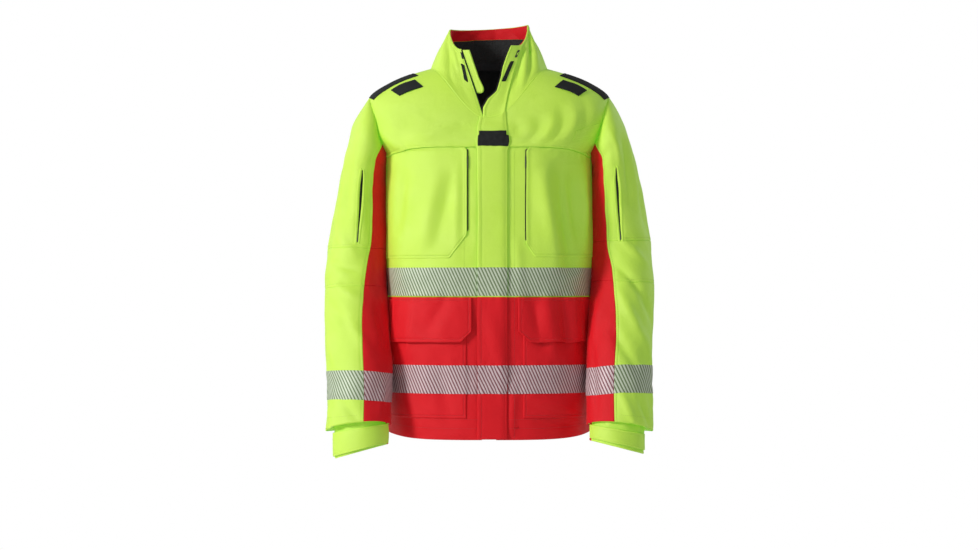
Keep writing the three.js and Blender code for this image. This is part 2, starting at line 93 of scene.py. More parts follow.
def lamp(name, place, size, power, aim=(0, 0, -0.35)):
    data = bpy.data.lights.new(name, "AREA")
    data.shape, data.size, data.energy = "DISK", size, power
    item = placed(name, data)
    item.location = place
    toward = np.subtract(aim, place)
    item.rotation_euler = (
        math.atan2(math.hypot(toward[0], toward[1]), -toward[2]),
        0,
        math.atan2(-toward[0], toward[1]),
    )


lamp("key_lamp", (-3.6, -2.3, 1.5), 1.0, 137)
lamp("fill_lamp", (1.9, -4.2, 1.3), 2.0, 10)
lamp("back_lamp_left", (-2.6, 2.0, 1.0), 1.4, 13)
lamp("back_lamp_right", (2.6, 2.0, 1.0), 1.4, 13)
world = bpy.data.worlds.new("studio")
bpy.context.scene.world = world
world.use_nodes = True
sky = world.node_tree.nodes["Background"]
sky.inputs["Color"].default_value = (1, 1, 1, 1)
brighter_to_camera(world.node_tree, STUDIO_LIGHT, STUDIO_WHITE, sky.inputs["Strength"])
bpy.context.scene.view_settings.view_transform = "Standard"

# ---- The coat's body: how the cloth hangs ----
# The shell hangs from the neck seam over both shoulders and falls in soft upright folds.
# Every piece on the body is laid on this one hanging form, so that all layers fold together.
GIRTH = 1040.0
HEM = -660.0
ARMPIT = -150.0
CHEST = (184.0, 122.0)
SKIRT = (182.0, 146.0)
SHOULDER, PULL_FRONT, PULL_BACK, PULL_SIDE = (278.0, 118.0), -125.0, -36.0, -42.0
NECK_WIDE, NECK_FRONT, NECK_BACK = 104.0, (-100.0, -93.0), (66.0, 12.0)
TAPE_WIDE, CHEST_TAPE, WAIST_TAPE = 50.0, -357.0, -529.0
COLOUR_CHANGE = CHEST_TAPE - TAPE_WIDE - 2
SQUARENESS = 2 / 2.6
SIDES = (("left", 1), ("right", -1))


def oval(angle, wide, deep):
    s, c = np.sin(angle), np.cos(angle)
    return wide * np.sign(s) * np.abs(s) ** SQUARENESS, -deep * np.sign(c) * np.abs(c) ** SQUARENESS


half_turn = np.linspace(0, math.pi, 1441)
chest_x, chest_y = oval(half_turn, *CHEST)
walked = np.concatenate([[0], np.cumsum(np.hypot(np.diff(chest_x), np.diff(chest_y)))])


def turn_at(girth):
    share = girth / GIRTH - np.round(girth / GIRTH)
    return np.where(share < 0, -1, 1) * np.interp(2 * np.abs(share) * walked[-1], walked, half_turn)


def neck_seam(angle):
    front = np.cos(angle) > 0
    reach = np.abs(np.cos(angle))
    y = reach * np.where(front, NECK_FRONT[0], NECK_BACK[0])
    z = np.where(front, reach**3.5 * NECK_FRONT[1], reach**2 * NECK_BACK[1])
    return np.stack([NECK_WIDE * np.sin(angle), y, z], -1)


def unfolded_body(girth, level):
    angle = turn_at(girth)
    down = np.clip((ARMPIT - level) / (ARMPIT - HEM), 0, None)
    x0, y0 = oval(angle, CHEST[0] + (SKIRT[0] - CHEST[0]) * down, CHEST[1] + (SKIRT[1] - CHEST[1]) * down)
    below = np.stack([x0, y0, np.minimum(level, ARMPIT)], -1)
    up = np.clip(1 - level / ARMPIT, 0, 1)[..., None]
    x1, y1 = oval(angle, *SHOULDER)
    side = np.sin(angle) ** 2
    pull = np.where(np.cos(angle) > 0, PULL_FRONT, PULL_BACK)
    handle = np.stack([x1, y1, pull + (PULL_SIDE - pull) * side], -1)
    return (1 - up) ** 2 * below + 2 * up * (1 - up) * handle + up**2 * neck_seam(angle)


def yoke_edge(girth):
    share = np.abs(girth / GIRTH - np.round(girth / GIRTH))
    return -133 - 26 * np.minimum(1, share / 0.2) ** 2


def hem_edge(girth):
    return HEM + 9 * np.sin(turn_at(girth)) ** 4


class Hanging:
    """A layer of cloth as it hangs: points over two places, with the way out at each."""

    def __init__(self, us, vs, points, wraps, flip=1):
        self.us, self.vs, self.wraps, self.flip = us, vs, wraps, flip
        self.set(points)

    def set(self, points):
        self.points = points
        if self.wraps:
            along = np.roll(points, -1, 0) - np.roll(points, 1, 0)
        else:
            along = np.gradient(points, axis=0)
        out = self.flip * np.cross(along, np.gradient(points, axis=1))
        self.out = out / np.maximum(np.linalg.norm(out, axis=-1, keepdims=True), 1e-9)

    def at(self, u, v, lift=0.0):
        u, v = np.broadcast_arrays(np.asarray(u, float), np.asarray(v, float))
        i = (u - self.us[0]) / (self.us[1] - self.us[0])
        j = (v - self.vs[0]) / (self.vs[1] - self.vs[0])
        count = len(self.us)
        i0 = np.floor(i).astype(int) if self.wraps else np.clip(np.floor(i).astype(int), 0, count - 2)
        j0 = np.clip(np.floor(j).astype(int), 0, len(self.vs) - 2)
        a, b = (i - i0)[..., None], (j - j0)[..., None]
        i0, i1 = (i0 % count, (i0 + 1) % count) if self.wraps else (i0, i0 + 1)

        def mix(g):
            low = g[i0, j0] * (1 - a) + g[i1, j0] * a
            return low * (1 - b) + (g[i0, j0 + 1] * (1 - a) + g[i1, j0 + 1] * a) * b

        return mix(self.points) + mix(self.out) * np.asarray(lift, float)[..., None]


def fold(u, v, start, end, width, height):
    """A rounded fold along a line, which fades out at both ends."""
    (u0, v0), (u1, v1) = start, end
    length = math.hypot(u1 - u0, v1 - v0)
    along = ((u - u0) * (u1 - u0) + (v - v0) * (v1 - v0)) / length**2
    off = ((u - u0) * (v1 - v0) - (v - v0) * (u1 - u0)) / length
    fade = np.clip(np.sin(np.pi * np.clip(along, 0, 1)), 0, 1) ** 0.7
    return height * np.exp(-((off / width) ** 2)) * fade


def ripple(u, v, seed, sizes, heights):
    """Slack that isn't ironed out: a few seeded waves crossing at different slants."""
    dice = np.random.default_rng(seed)
    total = np.zeros(np.broadcast(u, v).shape)
    for size, height in zip(sizes, heights):
        for _ in range(5):
            slant, start = dice.uniform(0, math.pi), dice.uniform(0, 6.28)
            step = 2 * math.pi / (size * dice.uniform(0.7, 1.4))
            total += height / 3 * np.sin((u * math.cos(slant) + v * math.sin(slant)) * step + start)
    return total


# Each fold: from and to in girth and level, half width, height. The wearer's left is positive.
FOLD_GAIN = 1.6
BODY_FOLDS = [
    ((-66, -185), (-100, -330), 13, -2.4), ((-92, -180), (-130, -345), 16, 2.4),
    ((-158, -180), (-182, -300), 14, -3.2), ((-58, -170), (-60, -350), 8, 1.6),
    ((-200, -110), (-150, -150), 12, 2.4), ((-120, -60), (-150, -140), 14, -1.8),
    ((-60, -40), (-110, -125), 12, 1.5), ((-70, -400), (-118, -480), 14, -2.6),
    ((-140, -400), (-150, -520), 15, 2.2), ((-96, -500), (-70, -650), 16, -2.4),
    ((-170, -560), (-120, -650), 15, 2.4), ((0, -430), (26, -560), 12, 1.8),
    ((128, -165), (164, -372), 18, -6.0), ((96, -180), (130, -368), 15, 5.2),
    ((158, -175), (186, -330), 12, -3.6), ((140, -185), (168, -320), 8, 2.6),
    ((190, -170), (196, -330), 12, 3.2), ((102, -30), (56, -122), 9, -2.0),
    ((120, -40), (76, -124), 6, 1.7), ((136, -40), (98, -126), 6, -1.8),
    ((154, -45), (118, -128), 6, 1.7), ((176, -45), (140, -130), 8, -1.6),
    ((66, -20), (38, -92), 10, -1.5), ((76, -395), (100, -505), 12, -3.4),
    ((104, -400), (120, -520), 10, 2.6), ((134, -395), (140, -500), 10, -3.2),
    ((162, -395), (164, -520), 10, 2.6), ((60, -585), (190, -615), 9, 2.2),
    ((80, -628), (200, -640), 7, -2.0), ((46, -560), (40, -655), 9, 2.4),
    ((50, -300), (58, -400), 9, 1.8), ((-26, -200), (-24, -340), 8, 0.8),
    ((420, -150), (400, -420), 24, 4.0), ((500, -120), (520, -460), 26, -3.2),
    ((560, -170), (600, -420), 22, 3.6), ((640, -150), (650, -380), 20, -3.4),
    ((460, -420), (440, -640), 22, -3.2), ((540, -440), (560, -650), 24, 3.4),
    ((620, -420), (600, -640), 20, -3.0), ((380, -60), (430, -160), 18, 2.6),
    ((660, -60), (610, -160), 18, 2.6), ((700, -430), (690, -640), 18, 2.6),
    ((350, -430), (352, -640), 18, 2.4), ((262, -200), (258, -420), 16, 3.0),
    ((282, -380), (276, -640), 15, -3.0), ((-262, -200), (-258, -420), 16, -3.0),
    ((-280, -380), (-272, -640), 15, 3.0),
    ((262, -135), (268, -490), 26, 4.0), ((-262, -135), (-268, -490), 26, 4.0),
    ((92, -150), (104, -372), 22, 2.6), ((152, -150), (160, -372), 26, -4.0),
]
girths = np.arange(-520.0, 520.0, 2.5)
levels = np.arange(-682.5, 0.1, 2.5)
U, V = np.meshgrid(girths, levels, indexing="ij")
body = Hanging(girths, levels, unfolded_body(U, V), wraps=True)
slack = ripple(U, V, 7, (190, 95, 48), (1.1, 0.7, 0.32))
for start, end, width, height in BODY_FOLDS:
    for turn in (-GIRTH, 0, GIRTH):
        slack += fold(U, V, (start[0] + turn, start[1]), (end[0] + turn, end[1]), width, FOLD_GAIN * height)
tight = 1 - np.exp(-((np.maximum(V, -60) / 22.0) ** 2))
for edge, reach in ((yoke_edge(U), 12), (COLOUR_CHANGE, 12), (WAIST_TAPE, 9), (WAIST_TAPE - TAPE_WIDE, 9)):
    gathered = np.exp(-(((V - edge) / reach) ** 2))
    slack += 0.42 * gathered * np.sin(U / 3.1 + 2.2 * np.sin(U / 27.0))
slack *= tight
shoulder_bump = np.exp(-(((np.abs(U) - 258) / 52) ** 2)) * np.exp(-(((V + 74) / 24) ** 2))
slack += 6.5 * shoulder_bump
body.set(body.points + body.out * slack[..., None])


# ---- Shell panels ----
# Two-ply waterproof cloth in fluorescent yellow above the chest tape and red below it, cut in
# panels, folded under at each edge and sewn down with one row of thread.
PRESSED = 0.55


def spaced(length, pitch, fine=(0.5, 1.2, 2.2, 3.6, 5.0, 6.2, 7.6, 10.0)):
    """Shares along an edge: close together at both ends, where the cloth turns under."""
    near = [d for d in fine if d < length * 0.45]
    inner = np.linspace(near[-1], length - near[-1], max(2, int(round((length - 2 * near[-1]) / pitch)) + 1))
    return np.concatenate([[0], near[:-1], inner, [length - d for d in near[-2::-1]], [length]]) / length


def edge_of(limit, at):
    return limit(at) if callable(limit) else np.full_like(at, float(limit))


def cloth(name, form, across, along, lift=0.0, thick=1.8, roll=1.4, seam=(), pitch=4.0, cover=None, skip=(),
          turned=False):
    """A piece of cloth on a hanging form, with turned edges and a pressed line at each seam.
    An edge is a number or a rule: a rule for across reads the height, one for along the girth."""
    rest = np.mean([float(np.mean(edge_of(e, np.zeros(1)))) for e in along])
    mid_u = [float(np.mean(edge_of(e, np.full(1, rest)))) for e in across]
    mid_v = [float(np.mean(edge_of(e, np.full(1, np.mean(mid_u))))) for e in along]
    run = form.at(np.linspace(mid_u[0], mid_u[1], 60), np.full(60, np.mean(mid_v)))
    rise = form.at(np.full(60, np.mean(mid_u)), np.linspace(mid_v[0], mid_v[1], 60))
    wide = np.linalg.norm(np.diff(run, axis=0), axis=1).sum()
    tall = np.linalg.norm(np.diff(rise, axis=0), axis=1).sum()
    s, t = np.meshgrid(spaced(wide, pitch), spaced(tall, pitch), indexing="ij")
    v = np.full_like(s, rest)
    for _ in range(3):
        u = edge_of(across[0], v) * (1 - s) + edge_of(across[1], v) * s
        v = edge_of(along[0], u) * (1 - t) + edge_of(along[1], u) * t
    away = {"left": s * wide, "right": (1 - s) * wide, "low": t * tall, "high": (1 - t) * tall}
    edge = np.minimum.reduce([d for side, d in away.items() if side not in skip] or [np.full_like(s, 99.0)])
    round_off = np.clip(1 - edge / roll, 0, 1)
    height = lift + thick * np.sqrt(np.maximum(1 - round_off**2, 0.0))
    for side, inset in seam:
        height = height - PRESSED * np.exp(-(((away[side] - inset) / 0.9) ** 2)) * (edge > 1.2)
    over = cover(u, v) if cover else 0.0
    outer, inner = form.at(u, v, height + over), form.at(u, v, lift + over)
    return slab(name, outer, inner, np.stack([(1 - s if turned else s) * wide, t * tall], -1))


def slab(name, outer, inner, spread):
    """Joins an outer and an inner grid of points into one closed piece, in metres."""
    rows, columns = outer.shape[:2]
    points = np.concatenate([outer.reshape(-1, 3), inner.reshape(-1, 3)]) / 1000
    index = np.arange(rows * columns).reshape(rows, columns)
    a, b, c, d = index[:-1, :-1], index[1:, :-1], index[1:, 1:], index[:-1, 1:]
    front = np.stack([a, b, c, d], -1).reshape(-1, 4)
    back = front[:, ::-1] + rows * columns
    ring = np.concatenate([index[:-1, 0], index[-1, :-1], index[:0:-1, -1], index[0, :0:-1]])
    after = np.roll(ring, -1)
    rim = np.stack([after, ring, ring + rows * columns, after + rows * columns], -1)
    faces = np.concatenate([front, back, rim])
    mesh = bpy.data.meshes.new(name)
    mesh.from_pydata(points.tolist(), [], faces.tolist())
    flat = np.concatenate([spread.reshape(-1, 2)] * 2) / 1000
    layer = mesh.uv_layers.new(name="flat_cut")
    layer.data.foreach_set("uv", flat[faces.reshape(-1)].astype(np.float32).ravel())
    mesh.polygons.foreach_set("use_smooth", [True] * len(mesh.polygons))
    return facing_out(placed(name + "_sewn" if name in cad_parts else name, mesh))


def facing_out(item):
    """Turns a closed piece's faces round where it came out inside out."""
    mesh = item.data
    mesh.calc_loop_triangles()
    points = np.empty(len(mesh.vertices) * 3)
    mesh.vertices.foreach_get("co", points)
    corners = np.empty(len(mesh.loop_triangles) * 3, int)
    mesh.loop_triangles.foreach_get("vertices", corners)
    a, b, c = points.reshape(-1, 3)[corners.reshape(-1, 3)].transpose(1, 0, 2)
    if (a * np.cross(b, c)).sum() < 0:
        mesh.flip_normals()
    return item


class Wire:
    """A socket in a material, so that a pattern is written as a sum."""

    def __init__(self, recipe, socket):
        self.recipe, self.socket = recipe, socket

    def sum(self, operation, left, right):
        return self.recipe.add("ShaderNodeMath", {"operation": operation}, {0: left, 1: right})["Value"]

    def __add__(self, other):
        return self.sum("ADD", self, other)

    def __sub__(self, other):
        return self.sum("SUBTRACT", self, other)

    def __rsub__(self, other):
        return self.sum("SUBTRACT", other, self)

    def __mul__(self, other):
        return self.sum("MULTIPLY", self, other)

    __radd__ = __add__
    __rmul__ = __mul__

    def wave(self):
        return self.sum("SINE", self, 0.0)

    def part(self):
        return self.sum("FRACT", self, 0.0)

    def size(self):
        return self.sum("ABSOLUTE", self, 0.0)


class Recipe:
    """One finish: its node tree, and the one way nodes are added to it."""

    def __init__(self, name, **fixed):
        self.material = bpy.data.materials.new(name)
        self.material.use_nodes = True
        self.tree = self.material.node_tree
        self.surface = self.tree.nodes["Principled BSDF"]
        for socket, amount in fixed.items():
            self.surface.inputs[socket.replace("_", " ")].default_value = amount
        flat = self.add("ShaderNodeUVMap", {"uv_map": "flat_cut"}, {})["UV"]
        split = self.add("ShaderNodeSeparateXYZ", {}, {0: flat})
        self.across, self.up = split["X"], split["Y"]
        self.place = self.add("ShaderNodeTexCoord", {}, {})["Object"]

    def add(self, kind, settings, inputs):
        node = self.tree.nodes.new(kind)
        for setting, value in settings.items():
            setattr(node, setting, value)
        for socket, value in inputs.items():
            if isinstance(value, Wire):
                self.tree.links.new(value.socket, node.inputs[socket])
            else:
                node.inputs[socket].default_value = value
        return {out.name: Wire(self, out) for out in node.outputs if out.enabled}

    def cloudy(self, size, detail=2.0):
        noise = {"Vector": self.place, "Scale": 1 / size, "Detail": detail}
        return self.add("ShaderNodeTexNoise", {}, noise)["Fac"]

    def weave(self, thread):
        step = 2 * math.pi / thread
        return (self.across * step).wave() * (self.up * step).wave()

    def blend(self, amount, low, high):
        return self.add("ShaderNodeMix", {"data_type": "RGBA"}, {0: amount, 6: low, 7: high})["Result"]

    def raised(self, height, depth, over=None):
        inputs = {"Height": height, "Distance": depth, "Strength": 1.0}
        if over is not None:
            inputs["Normal"] = over
        return self.add("ShaderNodeBump", {}, inputs)["Normal"]

    def feed(self, socket, wire):
        self.tree.links.new(wire.socket, self.surface.inputs[socket])

    def finished(self, relief, amount, low, high):
        """Takes a relief and a colour between two shades, and gives the material."""
        self.feed("Normal", relief)
        self.feed("Base Color", self.blend(amount, (*low, 1), (*high, 1)))
        return self.material


def shell_cloth(name, lit, deep, painted_glow, gloss):
    finish = Recipe(name, Roughness=0.56, Specular_IOR_Level=gloss, Sheen_Weight=0.06, Sheen_Roughness=0.4)
    # Painted light: a constant emission, green on the yellow cloth and red on the red cloth, that brightens
    # the cloth in shade as much as in light and stands in for its fluorescence.
    finish.surface.inputs["Emission Color"].default_value = (*painted_glow, 1)
    finish.surface.inputs["Emission Strength"].default_value = 1.0
    thread = finish.weave(0.00075)
    crease = finish.raised(finish.cloudy(0.03, 2.0), 0.0008)
    small = finish.raised(finish.cloudy(0.006, 2.0), 0.00022, crease)
    soft = finish.cloudy(0.045, 3.0)
    finish.feed("Roughness", 0.47 + finish.cloudy(0.03) * 0.17)
    return finish.finished(finish.raised(thread, 0.00005, small), soft * 0.9 + thread * 0.06, deep, lit)


# The third colour of each is its painted glow, a constant emission added in light and shade alike.
yellow = shell_cloth("yellow_shell_cloth", (0.67, 0.85, 0.110), (0.59, 0.80, 0.052), (0.0, 0.095, 0.0), 0.75)
red = shell_cloth("red_shell_cloth", (0.80, 0.009, 0.018), (0.68, 0.005, 0.011), (0.02, 0.0, 0.0), 0.22)


def finish_piece(item, material, rides, slot, *nodes):
    item.data.materials.append(material)
    if nodes:
        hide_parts(*nodes)
    if rides:
        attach(item, rides)
    return item


def cut_of(item, rests_on):
    """Reads the piece's flat cut and works out its area, and keeps neither."""
    flat = np.empty(len(item.data.loops) * 2, np.float32)
    item.data.uv_layers["flat_cut"].data.foreach_get("uv", flat)
    surface = sum(p.area for p in item.data.polygons) / 2


ZIP_HALF, SIDE_FRONT, SIDE_BACK = 13.0, 0.235 * GIRTH, 0.305 * GIRTH


def above_yoke(girth):
    return yoke_edge(girth) + 7


def on_side(hand, near, far):
    """Two girths on one side of the coat, lower first: hand is 1 on the wearer's left."""
    return sorted((hand * near, hand * far))


def all_edges(inset):
    return [(side, inset) for side in ("low", "high", "left", "right")]


all_round, behind = (ZIP_HALF, GIRTH - ZIP_HALF), (SIDE_BACK, GIRTH - SIDE_BACK)
hem_rows = [("low", 36), ("low", 20)]
yoke = cloth("yoke", body, all_round, (yoke_edge, -1), 0.2, 1.7, seam=[("low", 6)], pitch=4.5,
             cover=lambda u, v: 1.3 * np.exp(-(v - yoke_edge(u)) / 9), skip=("high",))
finish_piece(yoke, yellow, "coat", "hi_vis_yellow", "yoke")
shell = [yoke]
back = cloth("back_panel", body, behind, (COLOUR_CHANGE, above_yoke), -1.8, 1.8, pitch=4.5)
shell.append(finish_piece(back, yellow, "coat", "hi_vis_yellow", "back_panel"))
back_low = cloth("back_skirt", body, behind, (hem_edge, COLOUR_CHANGE), -1.8, 1.8, seam=hem_rows, pitch=4.5)
shell.append(finish_piece(back_low, red, "coat", "red_shell", "back_skirt"))
for side, hand in SIDES:
    span = on_side(hand, ZIP_HALF, SIDE_FRONT)
    chest = cloth("front_chest_" + side, body, span, (COLOUR_CHANGE, above_yoke), -1.8, 1.8)
    shell.append(finish_piece(chest, yellow, "coat", "hi_vis_yellow", "front_chest_" + side))
    skirt = cloth("front_skirt_" + side, body, span, (hem_edge, COLOUR_CHANGE), -1.8, 1.8, seam=hem_rows)
    shell.append(finish_piece(skirt, red, "coat", "red_shell", "front_skirt_" + side))
    flank = on_side(hand, SIDE_FRONT, SIDE_BACK)
    gore = cloth("side_panel_" + side, body, flank, (hem_edge, yoke_edge), -1.8, 1.8,
                 seam=[("low", 36)], pitch=4.5)
    shell.append(finish_piece(gore, red, "coat", "red_shell", "side_panel_" + side))
for item in shell:
    cut_of(item, ["body_lining"])

# ---- Lining ----
# Black plain-weave lining inside the shell, stopped above the hem, where a facing of the red
# cloth is turned up and sewn.
black_lining = Recipe("black_lining", Roughness=0.62, Specular_IOR_Level=0.4)
creased = black_lining.raised(black_lining.cloudy(0.02), 0.001)
black_lining = black_lining.finished(black_lining.raised(black_lining.weave(0.0011), 0.0001, creased),
                                     black_lining.cloudy(0.03), (0.014, 0.014, 0.016), (0.026, 0.026, 0.03))
lining = cloth("body_lining", body, all_round, (lambda g: hem_edge(g) + 34, -0.5), -5.4, 1.2, pitch=7)
finish_piece(lining, black_lining, "coat", "black_lining", "body_lining")
cut_of(lining, ["yoke"])
turned_up = (lambda g: hem_edge(g) + 1.5, lambda g: hem_edge(g) + 38)
facing = cloth("hem_facing", body, all_round, turned_up, -3.6, 1.4, pitch=6)
finish_piece(facing, red, "coat", "red_shell")

# ---- Front zip ----
# Two woven black tapes sewn inside the front edges, with a moulded coil where they meet and a
# slider at the top of the closed part. The storm flap hides all of it.
zip_tape = Recipe("black_zip_tape", Roughness=0.85, Specular_IOR_Level=0.2)
twill = ((zip_tape.across + zip_tape.up) * (2 * math.pi / 0.0012)).wave()
zip_tape = zip_tape.finished(zip_tape.raised(twill, 0.00015), zip_tape.cloudy(0.01),
                             (0.012, 0.012, 0.013), (0.03, 0.03, 0.033))
for side, span in (("left", (0.4, 16)), ("right", (-16, -0.4))):
    tape = cloth("zip_tape_" + side, body, span, (HEM + 8, -3), -3.0, 0.9, roll=0.5)
    finish_piece(tape, zip_tape, "coat", "zip_tape", "zip_tape_" + side)

# ---- Storm flap ----
# A straight strip sewn down along the wearer's left of the zip and pressed shut over it: yellow
# above the tape, red below. Its free edge curves into the point of the neck.
FLAP_SEAM, FLAP_FREE = 34.0, -21.0
FLAP_TOP_LEVELS = np.linspace(-80, 0, 33)


def girth_where(reach):
    """The girth at which the cloth lies a wanted distance from the centre line, level by level."""
    span = np.arange(-100.0, 100.1, 2.5)
    return [np.interp(reach(level), body.at(span, level)[:, 0], span) for level in FLAP_TOP_LEVELS]


FREE_TURNS = girth_where(lambda level: FLAP_FREE + 5 * np.clip((level + 45) / 45, 0, 1) ** 1.3)
SEAM_TURNS = girth_where(lambda level: 33.0 - 2 * np.clip((level + 45) / 45, 0, 1))


def flap_free_edge(level):
    return np.interp(level, FLAP_TOP_LEVELS, FREE_TURNS, left=FLAP_FREE)


def flap_sewn_edge(level):
    return np.interp(level, FLAP_TOP_LEVELS, SEAM_TURNS, left=FLAP_SEAM)


def flap_rise(u, v):
    """The strip lies close where it is sewn, and stands off over the zip."""
    off_seam = np.clip((flap_sewn_edge(v) - u) / 12, 0, 1) ** 0.6
    return (3.2 + 0.8 * np.clip((-v - 400) / 40, 0, 1)) * off_seam


flap_parts = [
    ("storm_flap_upper", (COLOUR_CHANGE, -0.2), yellow, "hi_vis_yellow"),
    ("storm_flap_lower", (HEM + 1, COLOUR_CHANGE), red, "red_shell"),
]
for name, along, material, slot in flap_parts:
    strip = cloth(name, body, (flap_free_edge, flap_sewn_edge), along, 0.9, 1.9, cover=flap_rise,
                  seam=[("left", 7), ("right", 4)], pitch=3.5)
    finish_piece(strip, material, "storm_flap", slot, name)
    cut_of(strip, ["front_chest_left"])

# ---- Reflective tape ----
# Silver film pressed on in slanted bars, 50 mm deep, so that the cloth shows between them: one
# band round the chest, one round the waist, and a length of each on the storm flap.
BAR_PITCH, BAR_SLANT = 0.0059, 0.47


def bar_tape(name, gap, bar):
    finish = Recipe(name, Roughness=0.42, Specular_IOR_Level=0.6)
    slant = finish.across * (1 / BAR_PITCH) + finish.up * (BAR_SLANT / BAR_PITCH)
    off_middle = (slant.part() * 2.0 - 1.0).size()
    span = {"Value": off_middle, "From Min": 0.66, "From Max": 0.50, "To Min": 0.0, "To Max": 1.0}
    mask = finish.add("ShaderNodeMapRange", {"interpolation_type": "SMOOTHSTEP"}, span)["Result"]
    shine = tuple(min(1.0, c * 1.35) for c in bar)
    grain = finish.cloudy(1 / 900, 1.0) * 0.7 + finish.cloudy(0.02) * 0.5
    silver = finish.blend(grain, (*bar, 1), (*shine, 1))
    finish.feed("Base Color", finish.blend(mask, (*gap, 1), silver))
    finish.feed("Metallic", mask * 0.12)
    finish.feed("Roughness", 0.66 - mask * 0.12)
    finish.feed("Normal", finish.raised(mask, 0.00018, finish.raised(finish.cloudy(0.022, 3.0), 0.0009)))
    return finish.material


tape_on_yellow = bar_tape("silver_bars_on_yellow", (0.13, 0.20, 0.075), (0.50, 0.56, 0.43))
tape_on_red = bar_tape("silver_bars_on_red", (0.20, 0.055, 0.07), (0.55, 0.43, 0.44))
BAND_LIFT = 0.35
BANDS = (("chest_tape", CHEST_TAPE, tape_on_yellow), ("waist_tape", WAIST_TAPE, tape_on_red))
POCKET_INNER, POCKET_OUTER = {"left": 62.5, "right": 41.0}, SIDE_FRONT - 6


def over_pocket(u, v):
    """The waist band runs over the patch pockets, which lift it a little."""
    wrapped = u - GIRTH * np.round(u / GIRTH)
    out = np.abs(wrapped)
    inner = np.where(wrapped > 0, POCKET_INNER["left"], POCKET_INNER["right"])
    return 2.0 * np.clip((out - inner + 4) / 5, 0, 1) * np.clip((POCKET_OUTER + 4 - out) / 5, 0, 1)


for name, top, material in BANDS:
    along = (top - TAPE_WIDE, top)
    band = cloth(name, body, (FLAP_SEAM + 0.3, GIRTH + FLAP_FREE), along, BAND_LIFT, 0.5, roll=0.5, pitch=4,
                 cover=over_pocket if name == "waist_tape" else None)
    finish_piece(band, material, "coat", "reflective_tape", name)
    length = cloth(name + "_flap", body, (FLAP_FREE + 0.1, FLAP_SEAM - 0.2), along, 3.1, 0.4, roll=0.4,
                   pitch=3.5, cover=lambda u, v: flap_rise(u, v) - 0.15)
    finish_piece(length, material, "storm_flap", "reflective_tape", name + "_flap")

# ---- Sleeves ----
# Each sleeve is yellow outside with a red under panel, cut in three lengths that are seamed
# above and below the elbow. The head is set into the armhole; the end is turned up and flares.
SLEEVE_GIRTH = 400.0
# Each ring: a point on the outer side, a point on the body side, and half the depth.
SLEEVE_RINGS = np.array([
    (214, -4, -52, 186, -4, -150, 70), (240, -7, -95, 186, -7, -166, 77),
    (254, -6, -140, 186.5, -6, -183, 78), (265, -3, -190, 187, -3, -212, 74),
    (277, 0, -250, 187.5, 0, -258, 68), (288, -4, -310, 188, -4, -312, 64),
    (293, -20, -370, 189, -22, -368, 61), (292, -48, -432, 184, -50, -426, 59),
    (289, -78, -500, 176, -81, -490, 57), (285, -101, -570, 172, -104, -556, 56),
    (284, -117, -630, 174, -119, -618, 54),
], float)
CUFF_RINGS = np.array([
    (271, -112, -618, 181, -115, -608, 44), (271, -122, -655, 180, -124, -638, 43),
    (270, -131, -693, 179, -132, -668, 42),
], float)


def through(values, at):
    """A smooth curve through the rings of a tube."""
    ends = np.concatenate([[2 * values[0] - values[1]], values, [2 * values[-1] - values[-2]]])
    i = np.clip(np.floor(at).astype(int), 0, len(values) - 2)
    f = (at - i)[..., None]
    a, b, c, d = ends[i], ends[i + 1], ends[i + 2], ends[i + 3]
    return b + 0.5 * f * (c - a + f * (2 * a - 5 * b + 4 * c - d + f * (3 * (b - c) + d - a)))


def tube(rings, height, turn, hand):
    """Points round a tube whose rings are named by the height of their outer side."""
    known = np.linspace(0, len(rings) - 1, 400)
    outer_height = through(rings, known)[:, 2]
    step = outer_height[-2] - outer_height[-1]
    at = np.interp(-height, -outer_height, known)
    at = at + np.clip(outer_height[-1] - height, 0, None) * (known[1] / step)
    at = at + np.clip(outer_height[0] - height, None, 0) * (known[1] / (outer_height[0] - outer_height[1]))
    ring, ahead = through(rings, at), through(rings, at + 0.02)
    centre, wide = (ring[..., :3] + ring[..., 3:6]) / 2, (ring[..., :3] - ring[..., 3:6]) / 2
    deep = np.cross((ahead[..., :3] + ahead[..., 3:6]) / 2 - centre, wide)
    deep[..., 2] *= 0.15
    deep = deep / np.linalg.norm(deep, axis=-1, keepdims=True) * ring[..., 6:7]
    points = centre + wide * np.cos(turn)[..., None] + deep * np.sin(turn)[..., None]
    return points * (hand, 1, 1), at


# Each fold as on the body, with turns: 0 is the outer side, 100 the front, 200 the body side.
SLEEVE_FOLDS = {
    "right": [
        ((30, -120), (52, -250), 13, 2.4), ((62, -150), (70, -300), 13, -2.4),
        ((122, -150), (128, -310), 10, -1.8), ((12, -200), (20, -330), 15, -2.2),
        ((40, -292), (112, -340), 9, 2.2), ((26, -345), (118, -368), 9, -2.4),
        ((56, -392), (128, -428), 11, 2.4), ((18, -410), (100, -468), 13, -2.8),
        ((84, -446), (134, -528), 12, 2.6), ((30, -480), (60, -540), 12, 2.2),
        ((60, -585), (112, -642), 10, -2.6), ((16, -600), (60, -642), 10, 2.2),
        ((150, -420), (172, -520), 12, -2.8), ((160, -560), (150, -640), 12, 2.4),
    ],
    "left": [
        ((38, -90), (48, -262), 9, 3.4), ((60, -100), (72, -250), 8, -3.2),
        ((18, -120), (24, -300), 10, -3.2), ((84, -90), (88, -160), 8, 2.2),
        ((120, -170), (132, -320), 10, -2.4), ((0, -150), (2, -330), 11, 2.8),
        ((112, -300), (40, -360), 10, 2.8), ((126, -352), (64, -402), 10, -3.2),
        ((118, -398), (52, -500), 12, 3.6), ((84, -380), (16, -470), 12, -3.6),
        ((128, -470), (56, -560), 12, -3.4), ((60, -470), (10, -560), 13, 3.0),
        ((104, -580), (70, -645), 9, 3.2), ((66, -585), (26, -645), 9, -3.4),
        ((26, -560), (2, -640), 9, 2.6), ((150, -400), (170, -500), 12, 2.6),
        ((168, -500), (150, -640), 12, -2.6),
    ],
}
